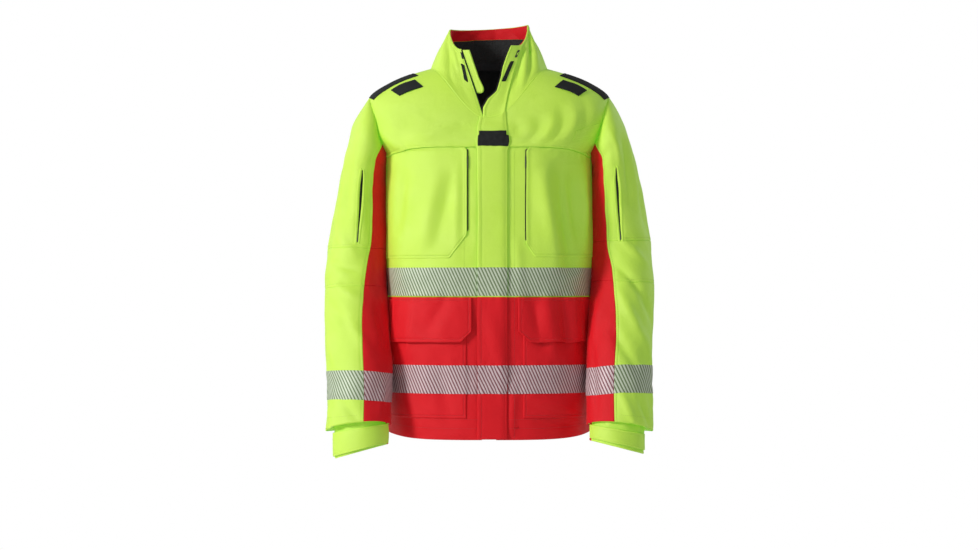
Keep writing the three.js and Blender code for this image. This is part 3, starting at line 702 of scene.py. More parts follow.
BACK_OF_SLEEVE_FOLDS = [
    ((200, -165), (200, -470), 34, 3.4), ((296, -130), (312, -300), 18, 3.6),
    ((336, -120), (344, -290), 16, -3.4), ((262, -318), (344, -350), 12, 3.4),
    ((258, -366), (350, -388), 12, -3.6), ((270, -410), (340, -470), 14, 3.4),
    ((250, -440), (322, -540), 14, -3.2), ((300, -500), (350, -640), 14, 2.8),
    ((230, -180), (236, -320), 14, -2.6),
]
SLEEVE_SEAMS = {"right": (-323.0, -396.0), "left": (-309.0, -386.0)}
SLEEVE_BANDS = {"right": (-591.0, -541.0), "left": (-580.0, -531.0)}
SLEEVE_END = -645.0


def sleeve_low(u):
    """The sleeve is cut a little higher in front than at its sides."""
    return SLEEVE_END + 10 * np.clip(np.sin(u / SLEEVE_GIRTH * 2 * math.pi), 0, 1)


ZIP_LINE = {"right": ((101, -166), (104, -313)), "left": ((99, -162), (103, -309))}
sleeve_forms = {}
for side, hand in SIDES:
    turns, heights = np.arange(0.0, SLEEVE_GIRTH, 3.2), np.arange(-656.0, -51.0, 2.5)
    U, V = np.meshgrid(turns, heights, indexing="ij")
    angle = U / SLEEVE_GIRTH * 2 * math.pi
    points, at = tube(SLEEVE_RINGS, V, angle, hand)
    armhole = body.at(hand * (260 - 54 * np.sin(angle)), -112 + 45 * np.cos(angle), 0.9)
    set_in = np.clip(at / 1.2, 0, 1)[..., None]
    set_in = set_in * set_in * (3 - 2 * set_in)
    points = armhole * (1 - set_in) + points * set_in
    form = Hanging(turns, heights, points, wraps=True, flip=-hand)
    slack = ripple(U, V, 20 + hand, (150, 80, 42), (1.2, 0.8, 0.4))
    for start, end, width, height in SLEEVE_FOLDS[side] + BACK_OF_SLEEVE_FOLDS:
        for turn in (-SLEEVE_GIRTH, 0, SLEEVE_GIRTH):
            line = (start[0] + turn, start[1]), (end[0] + turn, end[1])
            slack += fold(U, V, *line, 0.85 * width, 1.5 * height)
    (u0, v0), (u1, v1) = ZIP_LINE[side]
    sunk = fold(U, V, (u0, v0 + 14), (u1, v1 - 10), 6, -2.6)
    raised = fold(U, V, (u0 - 9, v0 + 14), (u1 - 8, v1), 6, 1.6)
    slack += sunk + raised
    for seam in SLEEVE_SEAMS[side]:
        slack += 0.4 * np.exp(-(((V - seam) / 9) ** 2)) * np.sin(U / 3.4 + 2 * np.sin(U / 23))
    slack += 0.35 * np.exp(-((np.clip(-V - 52, 0, None) / 16) ** 2)) * np.sin(U / 2.6)
    flare = np.clip((-V - 600) / 45, 0, 1) ** 2 * (1.2 + 1.6 * np.clip(np.cos(angle), 0, 1) ** 2)
    crown = 5.0 * np.exp(-(((V + 80) / 20) ** 2)) * np.exp(-(((U - 70) / 48) ** 2))
    slack = slack * np.clip((-V - 52) / 26, 0, 1) + flare + crown
    form.set(form.points + form.out * slack[..., None])
    sleeve_forms[side] = form


def under_seam(height):
    """Where the red under panel starts at the front, as the sleeve runs down."""
    known = np.linspace(0, len(SLEEVE_RINGS) - 1, 200)
    place = np.interp(-np.asarray(height, float), -through(SLEEVE_RINGS, known)[:, 2], known)
    ease = np.clip((place - 4.6) / 3.6, 0, 1)
    return SLEEVE_GIRTH * (0.342 - 0.056 * ease * ease * (3 - 2 * ease))


# The red panel ends behind at UNDER_BACK; the yellow one starts there, a turn of the sleeve back.
UNDER_BACK = 0.65 * SLEEVE_GIRTH
YELLOW_BACK = UNDER_BACK - SLEEVE_GIRTH


def band_dip(turn):
    """The forearm bands are sewn a little lower on the body side, so that they hang level."""
    return 17 * ((1 - np.cos(turn / SLEEVE_GIRTH * 2 * math.pi)) / 2) ** 1.5


def bends_at_shoulder(item, hand):
    "upper_sleeve_" + ("left" if hand > 0 else "right")
    0.166 * hand
    0.262 * hand
    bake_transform(item)


def bends_at_elbow(item, hand):
    side = "left" if hand > 0 else "right"
    "upper_sleeve_" + side
    "forearm_" + side
    0.241 * hand
    0.238 * hand
    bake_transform(item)


for side, hand in SIDES:
    form, (first, second) = sleeve_forms[side], SLEEVE_SEAMS[side]
    lengths = [
        ("head", (first, -53.0), bends_at_shoulder, ["sleeve_cap", "sleeve_upper"], []),
        ("elbow", (second, first), bends_at_elbow, ["sleeve_elbow"], []),
        ("forearm", (sleeve_low, second), bends_at_elbow, ["sleeve_forearm"], [("low", 22)]),
    ]
    for part, along, bend, nodes, rows in lengths:
        outside = cloth(f"sleeve_{part}_yellow_{side}", form, (YELLOW_BACK, under_seam), along, 0.0, 1.7,
                        roll=1.0, seam=rows + [("right", 5)], pitch=4.4)
        finish_piece(outside, yellow, None, "hi_vis_yellow", *[n + "_" + side for n in nodes])
        under = cloth(f"sleeve_{part}_red_{side}", form, (under_seam, UNDER_BACK), along, -0.3, 1.7,
                      roll=1.0, seam=rows, pitch=4.4)
        finish_piece(under, red, None, "red_shell", *[n + "_under_" + side for n in nodes])
        for item in (outside, under):
            cut_of(item, ["yoke"])
            bend(item, hand)
    low, high = SLEEVE_BANDS[side]
    tapes = (
        ("sleeve_tape_", (YELLOW_BACK + 0.5, lambda v: under_seam(v) - 0.3), 1.85, tape_on_yellow),
        ("sleeve_tape_red_", (lambda v: under_seam(v) + 0.3, UNDER_BACK - 0.5), 1.55, tape_on_red),
    )
    for name, across, lift, material in tapes:
        along = (lambda u: low - band_dip(u), lambda u: high - band_dip(u))
        band = cloth(name + side, form, across, along, lift, 0.45, roll=0.4, pitch=4.4, turned=hand > 0)
        stands_for = [] if "red" in name else [name + side]
        finish_piece(band, material, "forearm_" + side, "reflective_tape", *stands_for)
    inside = cloth("sleeve_lining_" + side, form, (0, SLEEVE_GIRTH - 0.4), (SLEEVE_END + 34, first + 30),
                   -3.4, 1.0, pitch=8)
    finish_piece(inside, black_lining, None, "black_lining")
    cut_of(inside, ["sleeve_forearm_yellow_" + side])
    bends_at_elbow(inside, hand)

# ---- Cuffs ----
# Inside the flared end each sleeve narrows to a yellow and red cuff. A stiffened yellow tab,
# sewn down near the outside, wraps round the front and closes the cuff with hook and loop.
CUFF_GIRTH = 280.0
CUFF_ENDS = {"right": -693.0, "left": -685.0}
CUFF_TABS = {"right": ((4, 128), (-690.0, -648.0)), "left": ((14, 128), (-679.0, -650.0))}
for side, hand in SIDES:
    def cuff_low(u):
        """The cuff is cut higher behind, so that its end is level."""
        return CUFF_ENDS[side] + 8 * np.clip(-np.sin(u / CUFF_GIRTH * 2 * math.pi), 0, 1)

    turns, heights = np.arange(0.0, CUFF_GIRTH, 2.8), np.arange(-698.0, -611.0, 2.0)
    U, V = np.meshgrid(turns, heights, indexing="ij")
    angle = U / CUFF_GIRTH * 2 * math.pi
    points, _ = tube(CUFF_RINGS, V, angle, hand)
    form = Hanging(turns, heights, points, wraps=True, flip=-hand)
    slack = ripple(U, V, 40 + hand, (90, 44), (0.7, 0.4))
    slack += 2.4 * np.exp(-(((V + 636) / 14) ** 2)) * np.sin(U / 9 + hand) ** 2 * (np.cos(angle) > -0.5)
    if side == "right":
        slack += -1.5 * np.clip((V + 660) / 20, 0, 1)
    form.set(form.points + form.out * slack[..., None])
    ends = (-0.35 * CUFF_GIRTH, 0.465 * CUFF_GIRTH, 0.65 * CUFF_GIRTH)
    along = (cuff_low, -613.0)
    top = cloth("cuff_" + side, form, ends[:2], along, 0, 1.8, seam=[("low", 5)], pitch=4)
    finish_piece(top, yellow, "forearm_" + side, "hi_vis_yellow", "cuff_" + side)
    below = cloth("cuff_under_" + side, form, ends[1:], along, 0, 1.8, seam=[("low", 5)], pitch=4)
    finish_piece(below, red, "forearm_" + side, "red_shell")
    band = cloth("cuff_facing_" + side, form, (0.5, CUFF_GIRTH), (lambda u: cuff_low(u) + 3, -614.0),
                 -1.6, 1.2, pitch=6)
    finish_piece(band, black_lining, "forearm_" + side, "black_lining")
    for item in (top, below, band):
        cut_of(item, ["sleeve_forearm_yellow_" + side])
    (start, stop), (low, high) = CUFF_TABS[side]
    tab = cloth("cuff_tab_" + side, form, (start, lambda v: stop + 0.08 * (v - low)), (low, high), 2.4, 2.4,
                roll=1.2, seam=all_edges(4), pitch=3.2,
                cover=lambda u, v: 1.6 * np.clip((u - start) / 90, 0, 1) + 0.5 * np.sin(u / 11))
    finish_piece(tab, yellow, "cuff_tab_" + side, "hi_vis_yellow", "cuff_tab_" + side)
    cut_of(tab, ["cuff_" + side])
    sleeve_turns = turns / CUFF_GIRTH * SLEEVE_GIRTH
    outer_ring = sleeve_forms[side].at(sleeve_turns, sleeve_low(sleeve_turns) + 1.5, -0.4)
    inner_ring = form.at(turns, -628.0, 2.6)
    turned = [outer_ring * (1 - row) + inner_ring * row + (0, 0, -5 * math.sin(row * math.pi))
              for row in np.linspace(0, 1, 9)]
    gusset = Hanging(turns, np.arange(9.0), np.stack(turned, 1), wraps=True, flip=hand)
    fold_back = cloth("sleeve_end_" + side, gusset, (0.2, CUFF_GIRTH - 0.2), (0.0, 8.0), -0.5, 1.0, roll=0.6,
                      pitch=3.5)
    finish_piece(fold_back, yellow, "forearm_" + side, "hi_vis_yellow")
    cut_of(fold_back, ["cuff_" + side])

# ---- Collar ----
# A high soft collar that stands open: yellow shell, black pile lining and a red facing inside
# the top edge. The wearer's right edge has a guard behind the zip, and the left a sewn band.
COLLAR_ROUND, COLLAR_TALL = 300.0, 100.0


def unfolded_collar(u, v):
    share, up = u / COLLAR_ROUND, (v / COLLAR_TALL)[..., None]
    base = neck_seam(math.pi - share * math.radians(175))
    back = share * math.radians(135)
    drop = np.clip((np.abs(back) - math.radians(78)) / math.radians(57), 0, 1)
    drop = drop * drop * (3 - 2 * drop)
    side_top, corner = 79 + 4 * np.sin(back), 38 + 3 * np.sign(share)
    top = np.stack([70 * np.sin(back), 60 * np.cos(back), side_top + (corner - side_top) * drop], -1)
    return base * (1 - up) + top * up


rounds, ups = np.arange(-345.0, 345.1, 2.5), np.arange(-12.0, 100.1, 2.0)
U, V = np.meshgrid(rounds, ups, indexing="ij")
collar = Hanging(rounds, ups, unfolded_collar(U, V), wraps=False, flip=-1)
slack = ripple(U, V, 31, (110, 56, 30), (1.1, 0.7, 0.35))
COLLAR_FOLDS = [
    ((232, 8), (214, 96), 8, -4.2), ((212, 4), (196, 98), 8, 3.4), ((250, 0), (240, 82), 7, 3.0),
    ((186, 10), (178, 90), 9, -3.2), ((268, 20), (262, 90), 6, -1.8), ((-210, 5), (-196, 92), 12, 2.2),
    ((-236, 10), (-228, 84), 9, -1.8), ((-262, 30), (-258, 88), 6, 1.0), ((-20, 20), (30, 86), 14, 2.2),
    ((60, 8), (84, 80), 13, -2.2), ((-90, 8), (-80, 84), 14, -2.2), ((120, 10), (132, 86), 12, 2.4),
    ((-150, 12), (-140, 84), 12, 2.2),
]
for start, end, width, height in COLLAR_FOLDS:
    slack += fold(U, V, start, end, width, height)
slack *= np.clip(V / 14, 0, 1)
slack += 1.0 * np.sin(np.clip(V / 100, 0, 1) * math.pi)
collar.set(collar.points + collar.out * slack[..., None])


def left_edge(v):
    """The free front edge on the wearer's left, read up from the neck seam."""
    return np.interp(v, (0, 12, 25, 37, 56, 68, 86, 100), (319, 325, 323, 313, 316, 321, 325, 326))


def band_fold(v):
    return np.interp(v, (0, 30, 60, 100), (280, 283, 284, 281))


neck_shell = cloth("collar_shell", collar, (-COLLAR_ROUND, COLLAR_ROUND + 6), (-1.0, 100.0), 0.0, 2.0,
                   roll=1.6, seam=[("high", 7), ("left", 4)], pitch=3.6, skip=("low",))
finish_piece(neck_shell, yellow, "coat", "hi_vis_yellow", "collar_shell")
band = cloth("collar_band", collar, (band_fold, left_edge), (-2.5, 99.6), 1.7, 2.0, roll=1.4,
             seam=[("right", 4)], pitch=3, cover=lambda u, v: 1.1 * np.exp(-(((u - band_fold(v)) / 6) ** 2)))
finish_piece(band, yellow, "coat", "hi_vis_yellow")


def guard_edge(v):
    tip = 9.0 * (1 - np.sqrt(np.clip(1 - (np.clip(46 - v, 0, 9) / 9) ** 2, 0, 1)))
    return np.interp(v, (37, 60, 100), (-322, -321, -329)) + tip


chin_guard = cloth("chin_guard", collar, (guard_edge, -301.5), (37.0, 99.0), -3.0, 3.2, roll=1.6,
                   seam=[("left", 4)], pitch=2.6)
finish_piece(chin_guard, yellow, "coat", "hi_vis_yellow", "chin_guard")
pile = Recipe("black_fleece", Roughness=0.95, Sheen_Weight=0.06, Sheen_Roughness=0.6)
tufts = pile.add("ShaderNodeTexVoronoi", {}, {"Vector": pile.place, "Scale": 620.0})["Distance"]
pile = pile.finished(pile.raised(tufts + pile.cloudy(0.008) * 1.5, 0.0016), tufts * 1.2,
                     (0.009, 0.010, 0.010), (0.032, 0.034, 0.033))
neck_lining = cloth("collar_lining", collar, (-COLLAR_ROUND + 1, COLLAR_ROUND + 10), (1.0, 71.6), -3.8, 2.6,
                    pitch=5)
finish_piece(neck_lining, pile, "coat", "black_fleece", "collar_lining")
neck_facing = cloth("collar_facing", collar, (-COLLAR_ROUND + 1, COLLAR_ROUND + 12), (72.0, 99.4), -3.4, 3.1,
                    roll=1.2, seam=[("low", 4)], pitch=4)
finish_piece(neck_facing, red, "coat", "red_shell", "collar_facing")
shares = np.linspace(-1, 1, 161)
seam_angle = math.pi - np.abs(shares) * math.radians(175)
seam_girth = np.where(shares < 0, -1, 1) * GIRTH / 2 * np.interp(seam_angle, half_turn, walked) / walked[-1]
seam_path = (collar.at(COLLAR_ROUND * shares, 0.6, 0.5) + body.at(seam_girth, -0.6, 0.5)) / 2
ROLL_SIDES, ROLL_RADIUS = 10, 1.75
around = np.linspace(0, 2 * math.pi, ROLL_SIDES + 1)[:-1]
ahead = np.gradient(seam_path, axis=0)
ahead /= np.linalg.norm(ahead, axis=1, keepdims=True)
aside = np.cross(ahead, (0.0, 0.0, 1.0))
aside /= np.linalg.norm(aside, axis=1, keepdims=True)
rise = np.cross(aside, ahead)
rings = [seam_path + ROLL_RADIUS * (math.cos(a) * aside + math.sin(a) * rise) for a in around]
index = np.arange(len(shares) * ROLL_SIDES).reshape(ROLL_SIDES, -1)
beside = np.roll(index, -1, 0)
faces = np.stack([index[:, :-1], beside[:, :-1], beside[:, 1:], index[:, 1:]], -1).reshape(-1, 4).tolist()
faces += [index[:, 0].tolist(), index[::-1, -1].tolist()]
seam_mesh = bpy.data.meshes.new("neck_seam")
seam_mesh.from_pydata((np.concatenate(rings) / 1000).tolist(), [], faces)
seam_mesh.polygons.foreach_set("use_smooth", [True] * len(faces))
neck_roll = placed("neck_seam", seam_mesh)
finish_piece(facing_out(neck_roll), yellow, "coat", "hi_vis_yellow")
neck_tape = cloth("neck_tape", collar, (-COLLAR_ROUND + 1, COLLAR_ROUND), (-11.0, 7.0), -6.6, 2.4, roll=1.0,
                  pitch=5)
finish_piece(neck_tape, black_lining, "coat", "black_lining")
for item in (neck_shell, band, chin_guard, neck_lining, neck_facing):
    cut_of(item, ["yoke"])

# ---- Collar hardware ----
# Bars of black hook tape on both front edges, one punched eyelet in the left band and the
# moulded stop at the top of the zip.
hook_tape = Recipe("black_hook_tape", Roughness=0.85, Specular_IOR_Level=0.2)
hooks = hook_tape.add("ShaderNodeTexVoronoi", {}, {"Vector": hook_tape.place, "Scale": 1400.0})["Distance"]
hook_tape = hook_tape.finished(hook_tape.raised(hooks, 0.0006), hooks,
                               (0.008, 0.012, 0.008), (0.03, 0.038, 0.03))
moulded = Recipe("black_moulded_nylon", Roughness=0.42, Specular_IOR_Level=0.5)
moulded = moulded.finished(moulded.raised(moulded.cloudy(0.0012), 0.00008), moulded.cloudy(0.004),
                           (0.010, 0.011, 0.011), (0.028, 0.030, 0.030))
CORNER = 2.5


def bar_edges(start, stop, low, high, half):
    """Edges of a narrow bar with rounded corners that runs from one place to another."""
    def reach(v):
        into = np.clip(np.minimum(v - low, high - v), 0, CORNER)
        return half - CORNER + CORNER * np.sqrt(np.clip(1 - (1 - into / CORNER) ** 2, 0.02, 1))

    def middle(v):
        return start + (stop - start) * (v - low) / (high - low)

    return lambda v: middle(v) - reach(v), lambda v: middle(v) + reach(v)


# Each bit: its name, material and slot; how far round its foot and head are, how high they are
# and half its width; then its lift, thickness, edge roll and grid.
COLLAR_BITS = (
    ("hook_bar_right", hook_tape, "black_webbing", (-283.0, -288.0, 47.0, 75.0, 5.6), (2.2, 0.9, 0.6, 1.6)),
    ("hook_bar_left", hook_tape, "black_webbing", (305.5, 301.0, 49.0, 77.0, 5.6), (3.9, 0.9, 0.6, 1.6)),
    ("eyelet", moulded, "black_webbing", (294, 291, 82.0, 92.5, 4.8), (3.7, 1.1, 1.0, 1.2)),
    ("eyelet_cloth", yellow, "hi_vis_yellow", (293.2, 291.8, 84.8, 89.7, 2.6), (4.6, 0.5, 0.3, 1)),
    ("zip_stop", moulded, "black_zip_slider", (-295, -297, 84.0, 94.5, 3.4), (2.0, 2.0, 1.2, 1.4)),
)
for name, material, slot, outline, (lift, thick, roll, grid) in COLLAR_BITS:
    bit = cloth("collar_" + name, collar, bar_edges(*outline), outline[2:4], lift, thick, roll=roll,
                pitch=grid)
    finish_piece(bit, material, "coat", slot)

# ---- Shoulder guards ----
# A wedge of black abrasion-proof cloth along the top of each shoulder, and in front of it a
# short flat tab of the same cloth, sewn at both ends.
tough = Recipe("black_abrasion_cloth", Roughness=0.8, Specular_IOR_Level=0.2)
cross = tough.weave(0.0016)
tough = tough.finished(tough.raised(cross, 0.00016, tough.raised(tough.cloudy(0.012), 0.0006)),
                       tough.cloudy(0.02) * 0.7 + cross * 0.2, (0.012, 0.014, 0.014), (0.030, 0.034, 0.033))


def slanted(hand, *rules):
    """A front and a back edge, each read from its levels and girths, for the side that hand names."""
    edges = [lambda v, rule=rule: hand * np.interp(v, *rule) for rule in rules]
    return edges[::hand]


for side, hand in SIDES:
    edges = slanted(hand, ((-74, -41, -14), (214, 206, 196)), ((-74, -30, -14), (306, 292, 262)))
    guard = cloth("shoulder_guard_" + side, body, edges, (-72.0, -15.0), 1.9, 1.5, roll=1.0,
                  seam=all_edges(3), pitch=3.5)
    finish_piece(guard, tough, "coat", "black_webbing", "shoulder_guard_" + side)
    edges = slanted(hand, ((-50, -22), (172, 161)), ((-50, -22), (196, 186)))
    tab = cloth("shoulder_tab_" + side, body, edges, (-48.0, -21.0), 2.0, 1.9, roll=1.0,
                seam=[("low", 3), ("high", 3)], pitch=2.6,
                cover=lambda u, v: 1.6 * np.exp(-(((v + 35) / 9) ** 2)))
    finish_piece(tab, tough, "coat", "black_webbing", "shoulder_tab_" + side)
    for item in (guard, tab):
        cut_of(item, ["yoke"])

# ---- Webbing tab on the flap ----
# A flat black strip of hook-faced webbing across the storm flap, sewn down all round.
webbing = Recipe("black_webbing", Roughness=0.8, Specular_IOR_Level=0.2)
ribs = (webbing.across * (2 * math.pi / 0.0021)).wave()
cross = (webbing.up * (2 * math.pi / 0.0012)).wave()
worn = ribs * 0.3 + webbing.cloudy(0.008) * 0.8
webbing = webbing.finished(webbing.raised(ribs + cross * 0.4, 0.00025), worn,
                           (0.010, 0.011, 0.011), (0.034, 0.037, 0.036))
TAB_BOTTOM, TAB_TOP = -142.5, -115.5
tab_levels = np.arange(-140.0, 0, 2.0)
tab_ends = np.interp((TAB_BOTTOM, TAB_TOP), body.at(6.0, tab_levels, 6.0)[:, 2], tab_levels)
chest_tab = cloth("chest_tab", body, (lambda v: flap_free_edge(v) + 3.4, lambda v: flap_sewn_edge(v) - 2.4),
                  [float(end) for end in tab_ends], 2.9, 1.7, roll=0.8, pitch=3, cover=flap_rise)
finish_piece(chest_tab, webbing, "storm_flap", "black_webbing", "chest_tab")

# ---- Chest pockets ----
# A patch of the yellow cloth on each side of the chest, with its lower inner corner cut off. It
# opens along its inner edge, where a thin black coil zip is hidden behind a folded lip.
CHEST_POCKETS = {"right": (39.5, -298.0, 72.0, -341.0), "left": (67.5, -315.0, 83.5, -338.0)}
for side, hand in SIDES:
    inner, corner, cut, bottom = CHEST_POCKETS[side]

    def pocket_low(u):
        return bottom + (corner - bottom) * np.clip((cut - np.abs(u)) / (cut - inner), 0, 1)

    span = on_side(hand, inner, SIDE_FRONT - 5)
    lip = "left" if hand > 0 else "right"
    patch = cloth("chest_pocket_" + side, body, span, (pocket_low, lambda g: yoke_edge(g) - 0.5), 0.1, 1.3,
                  seam=[("low", 5), (lip, 9)], pitch=3.6,
                  cover=lambda u, v: 1.5 * np.exp(-(((np.abs(u) - inner) / 5.5) ** 2)))
    finish_piece(patch, yellow, "coat", "hi_vis_yellow", "chest_pocket_" + side)
    cut_of(patch, ["front_chest_" + side])
    strip = on_side(hand, inner - 1.6, inner + 1.5)
    tape = cloth("chest_zip_tape_" + side, body, strip, (corner + 6, -144.0), 0.1, 0.8, roll=0.5, pitch=2)
    finish_piece(tape, zip_tape, "coat", "zip_tape")
    across = on_side(hand, inner - 2.6, inner + 0.2)
    pull = cloth("chest_zip_pull_" + side, body, across, (-182.0, -160.0), 1.6, 1.6, roll=1.1, pitch=1.2)
    finish_piece(pull, moulded, "chest_slider_" + side, "black_zip_slider", "chest_slider_" + side)

# ---- Skirt pockets ----
# Deep patch pockets of the red cloth under flaps whose lower inner corners are cut off. Each
# flap is sewn along its top edge and hangs a little away from the pocket.
FLAPS = {"right": (31.0, 190.0, 0.25), "left": (52.5, 190.0, 1.5)}
FLAP_TOP, FLAP_BOTTOM = -409.6, -489.0
for side, hand in SIDES:
    inner, outer, gather = FLAPS[side]
    span = on_side(hand, inner + 10, SIDE_FRONT - 6)
    bag = cloth("skirt_pocket_" + side, body, span, (-622.0, -413.0), 0.1, 1.9, roll=1.6,
                seam=[("low", 5), ("left", 5), ("right", 5)], pitch=3.8)
    finish_piece(bag, red, "coat", "red_shell", "skirt_pocket_" + side)

    def flap_low(u):
        cut = 20 * np.clip((inner + 20 - np.abs(u)) / 20, 0, 1)
        return FLAP_BOTTOM + cut + (1.4 * np.sin(np.abs(u) / 8.5) if gather > 1 else 0)

    def stands_off(u, v):
        down = np.clip((FLAP_TOP - v) / 80, 0, 1)
        return 4.2 * down**0.8 + gather * down * np.sin(np.abs(u) / 6.4 + 1.2 * np.sin(u / 19))

    span = on_side(hand, inner, outer)
    lid = cloth("pocket_flap_" + side, body, span, (flap_low, FLAP_TOP), 1.9, 2.0, roll=1.4, cover=stands_off,
                seam=[("low", 6), ("left", 6), ("right", 6), ("high", 5)], pitch=3.2)
    finish_piece(lid, red, "pocket_flap_" + side, "red_shell", "pocket_flap_" + side)
    for item in (bag, lid):
        cut_of(item, ["front_skirt_" + side])

# ---- Sleeve zips ----
# A short vent zip down the front of each upper sleeve. Its black tape shows where the vent
# gapes, between two folded yellow lips.
for side, hand in SIDES:
    form, ((u0, v0), (u1, v1)) = sleeve_forms[side], ZIP_LINE[side]

    def gape(v):
        down = np.clip((v0 - v) / (v0 - v1), 0, 1)
        return 0.6 + 4.2 * np.clip(np.sin(np.pi * np.clip(down, 0, 1) ** 0.6), 0, 1) ** 1.2

    def middle(v):
        return u0 + (u1 - u0) * (v0 - v) / (v0 - v1)

    gap = (lambda v: middle(v) - gape(v), lambda v: middle(v) + gape(v))
    vent = cloth("sleeve_zip_tape_" + side, form, gap, (v1, v0), 1.2, 0.8, roll=0.4, pitch=1.6)
    finish_piece(vent, zip_tape, None, "zip_tape")
    bends_at_shoulder(vent, hand)
    lips = (("outer", lambda v: middle(v) - gape(v) - 6, lambda v: middle(v) - gape(v) + 0.4),
            ("inner", lambda v: middle(v) + gape(v) - 0.4, lambda v: middle(v) + gape(v) + 6))
    for place, first_edge, last_edge in lips:
        lip = cloth(f"sleeve_zip_lip_{place}_{side}", form, (first_edge, last_edge), (v1 - 3.0, v0 + 3.0),
                    0.8, 2.0, roll=1.5, pitch=2.4)
        finish_piece(lip, yellow, None, "hi_vis_yellow")
        bends_at_shoulder(lip, hand)
    across = (middle(-300) - 1.7, middle(-300) + 1.7)
    pull = cloth("sleeve_zip_pull_" + side, form, across, (v1 + 1.0, v1 + 23.0), 2.2, 1.6, roll=1.1,
                 pitch=1.2)
    finish_piece(pull, moulded, "sleeve_slider_" + side, "black_zip_slider", "sleeve_slider_" + side)
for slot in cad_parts["main_slider"].material_slots:
    slot.material = moulded

# ---- Small trims ----
# A small sewn-in tab on the wearer's left yoke, and a bar tack low on the left front.
small_tab = cloth("yoke_tab_left", body, (137.0, 186.0), (-127.0, -104.0), 1.9, 1.3, roll=1.0,
                  seam=[("low", 3), ("high", 3)], pitch=2.8)
finish_piece(small_tab, yellow, "coat", "hi_vis_yellow")
tack = cloth("bar_tack_left", body, (44.0, 53.0), (-638.4, -635.6), 0.3, 0.9, roll=0.7, pitch=1.0)
finish_piece(tack, red, "coat", "red_shell")

# ---- Stitching and zip coils ----
# Lockstitch in thread of each cloth's colour, about 3.4 mm a stitch, along the sewn edges, and
# the moulded coils of the zips. Each row follows the cloth it is sewn through.
STITCH = (0.0034, 0.0026, 0.0006)
COLLAR_STITCH = (0.0032, 0.0024, 0.0006)
COIL, SLEEVE_COIL = (0.0013, 0.0015, 0.0026), (0.0013, 0.0015, 0.0022)


def bead_tree(name):
    """A tree that sets one small bead at each step along rows, each bead in line with its row."""
    tree = bpy.data.node_groups.new(name, "GeometryNodeTree")
    tree.is_modifier = True
    sockets = {}
    wanted = (("Rows", "Geometry"), ("Pitch", "Float"), ("Length", "Float"), ("Thickness", "Float"),
              ("Finish", "Material"))
    for label, kind in wanted:
        socket = tree.interface.new_socket(name=label, in_out="INPUT", socket_type="NodeSocket" + kind)
        sockets[label] = socket.identifier
    tree.interface.new_socket(name="Beads", in_out="OUTPUT", socket_type="NodeSocketGeometry")
    start = tree.nodes.new("NodeGroupInput")
    curve = tree.nodes.new("GeometryNodeMeshToCurve")
    spots = tree.nodes.new("GeometryNodeCurveToPoints")
    spots.mode = "LENGTH"
    bead = tree.nodes.new("GeometryNodeMeshIcoSphere")
    bead.inputs["Subdivisions"].default_value = 1
    bead.inputs["Radius"].default_value = 0.5
    size = tree.nodes.new("ShaderNodeCombineXYZ")
    place = tree.nodes.new("GeometryNodeInstanceOnPoints")
    real = tree.nodes.new("GeometryNodeRealizeInstances")
    paint = tree.nodes.new("GeometryNodeSetMaterial")
    end = tree.nodes.new("NodeGroupOutput")
    for source, output, target, socket in (
        (start, "Rows", curve, "Mesh"), (curve, "Curve", spots, "Curve"), (start, "Pitch", spots, "Length"),
        (start, "Thickness", size, "X"), (start, "Thickness", size, "Y"), (start, "Length", size, "Z"),
        (spots, "Points", place, "Points"), (spots, "Rotation", place, "Rotation"),
        (bead, "Mesh", place, "Instance"), (size, "Vector", place, "Scale"),
        (place, "Instances", real, "Geometry"), (real, "Geometry", paint, "Geometry"),
        (start, "Finish", paint, "Material"), (paint, "Geometry", end, "Beads"),
    ):
        tree.links.new(source.outputs[output], target.inputs[socket])
    return tree, sockets


def bead_rows(name, rows, material, rides, sizes=STITCH):
    """Beads along rows of points, as one plain mesh: sizes are the pitch, length and thickness."""
    tree, sockets = bead_tree(name)
    mesh = bpy.data.meshes.new(name)
    points = np.concatenate(rows) / 1000
    counts = np.cumsum([0] + [len(row) for row in rows])
    edges = [(i, i + 1) for a, b in zip(counts[:-1], counts[1:]) for i in range(a, b - 1)]
    mesh.from_pydata(points.tolist(), edges, [])
    raw = placed(name + "_rows", mesh)
    step = raw.modifiers.new("beads", "NODES")
    step.node_group = tree
    for label, value in zip(("Pitch", "Length", "Thickness", "Finish"), (*sizes, material)):
        step[sockets[label]] = value
    evaluated = raw.evaluated_get(bpy.context.evaluated_depsgraph_get())
    beads = bpy.data.meshes.new_from_object(evaluated)
    raw.modifiers.remove(step)
    bpy.data.objects.remove(raw)
    made = placed(name, beads)
    made.data.polygons.foreach_set("use_smooth", [True] * len(made.data.polygons))
    if rides:
        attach(made, rides)
    return made


def row(form, start, end, lift, across=None, along=None):
    """A row of points between two places, or along an edge that is given as a rule."""
    steps = max(8, int(max(abs(end[0] - start[0]), abs(end[1] - start[1])) / 4))
    u, v = np.linspace(start[0], end[0], steps), np.linspace(start[1], end[1], steps)
    u = across(v) if across else u
    v = along(u) if along else v
    return form.at(u, v, lift)


def level_row(form, start, end, level, lift):
    return row(form, (start, level), (end, level), lift)


def upright_row(form, girth, low, high, lift):
    return row(form, (girth, low), (girth, high), lift)


def thread(name, shade, lit, sheen=0.2):
    finish = Recipe(name, Roughness=0.6, Sheen_Weight=sheen)
    finish.feed("Base Color", finish.blend(finish.cloudy(0.004), (*shade, 1), (*lit, 1)))
    return finish.material


yellow_thread = thread("yellow_thread", (0.34, 0.56, 0.02), (0.52, 0.78, 0.05))
red_thread = thread("red_thread", (0.42, 0.012, 0.02), (0.62, 0.03, 0.04))
coil_black = thread("black_coil", (0.006, 0.007, 0.007), (0.016, 0.018, 0.017), sheen=0.0)

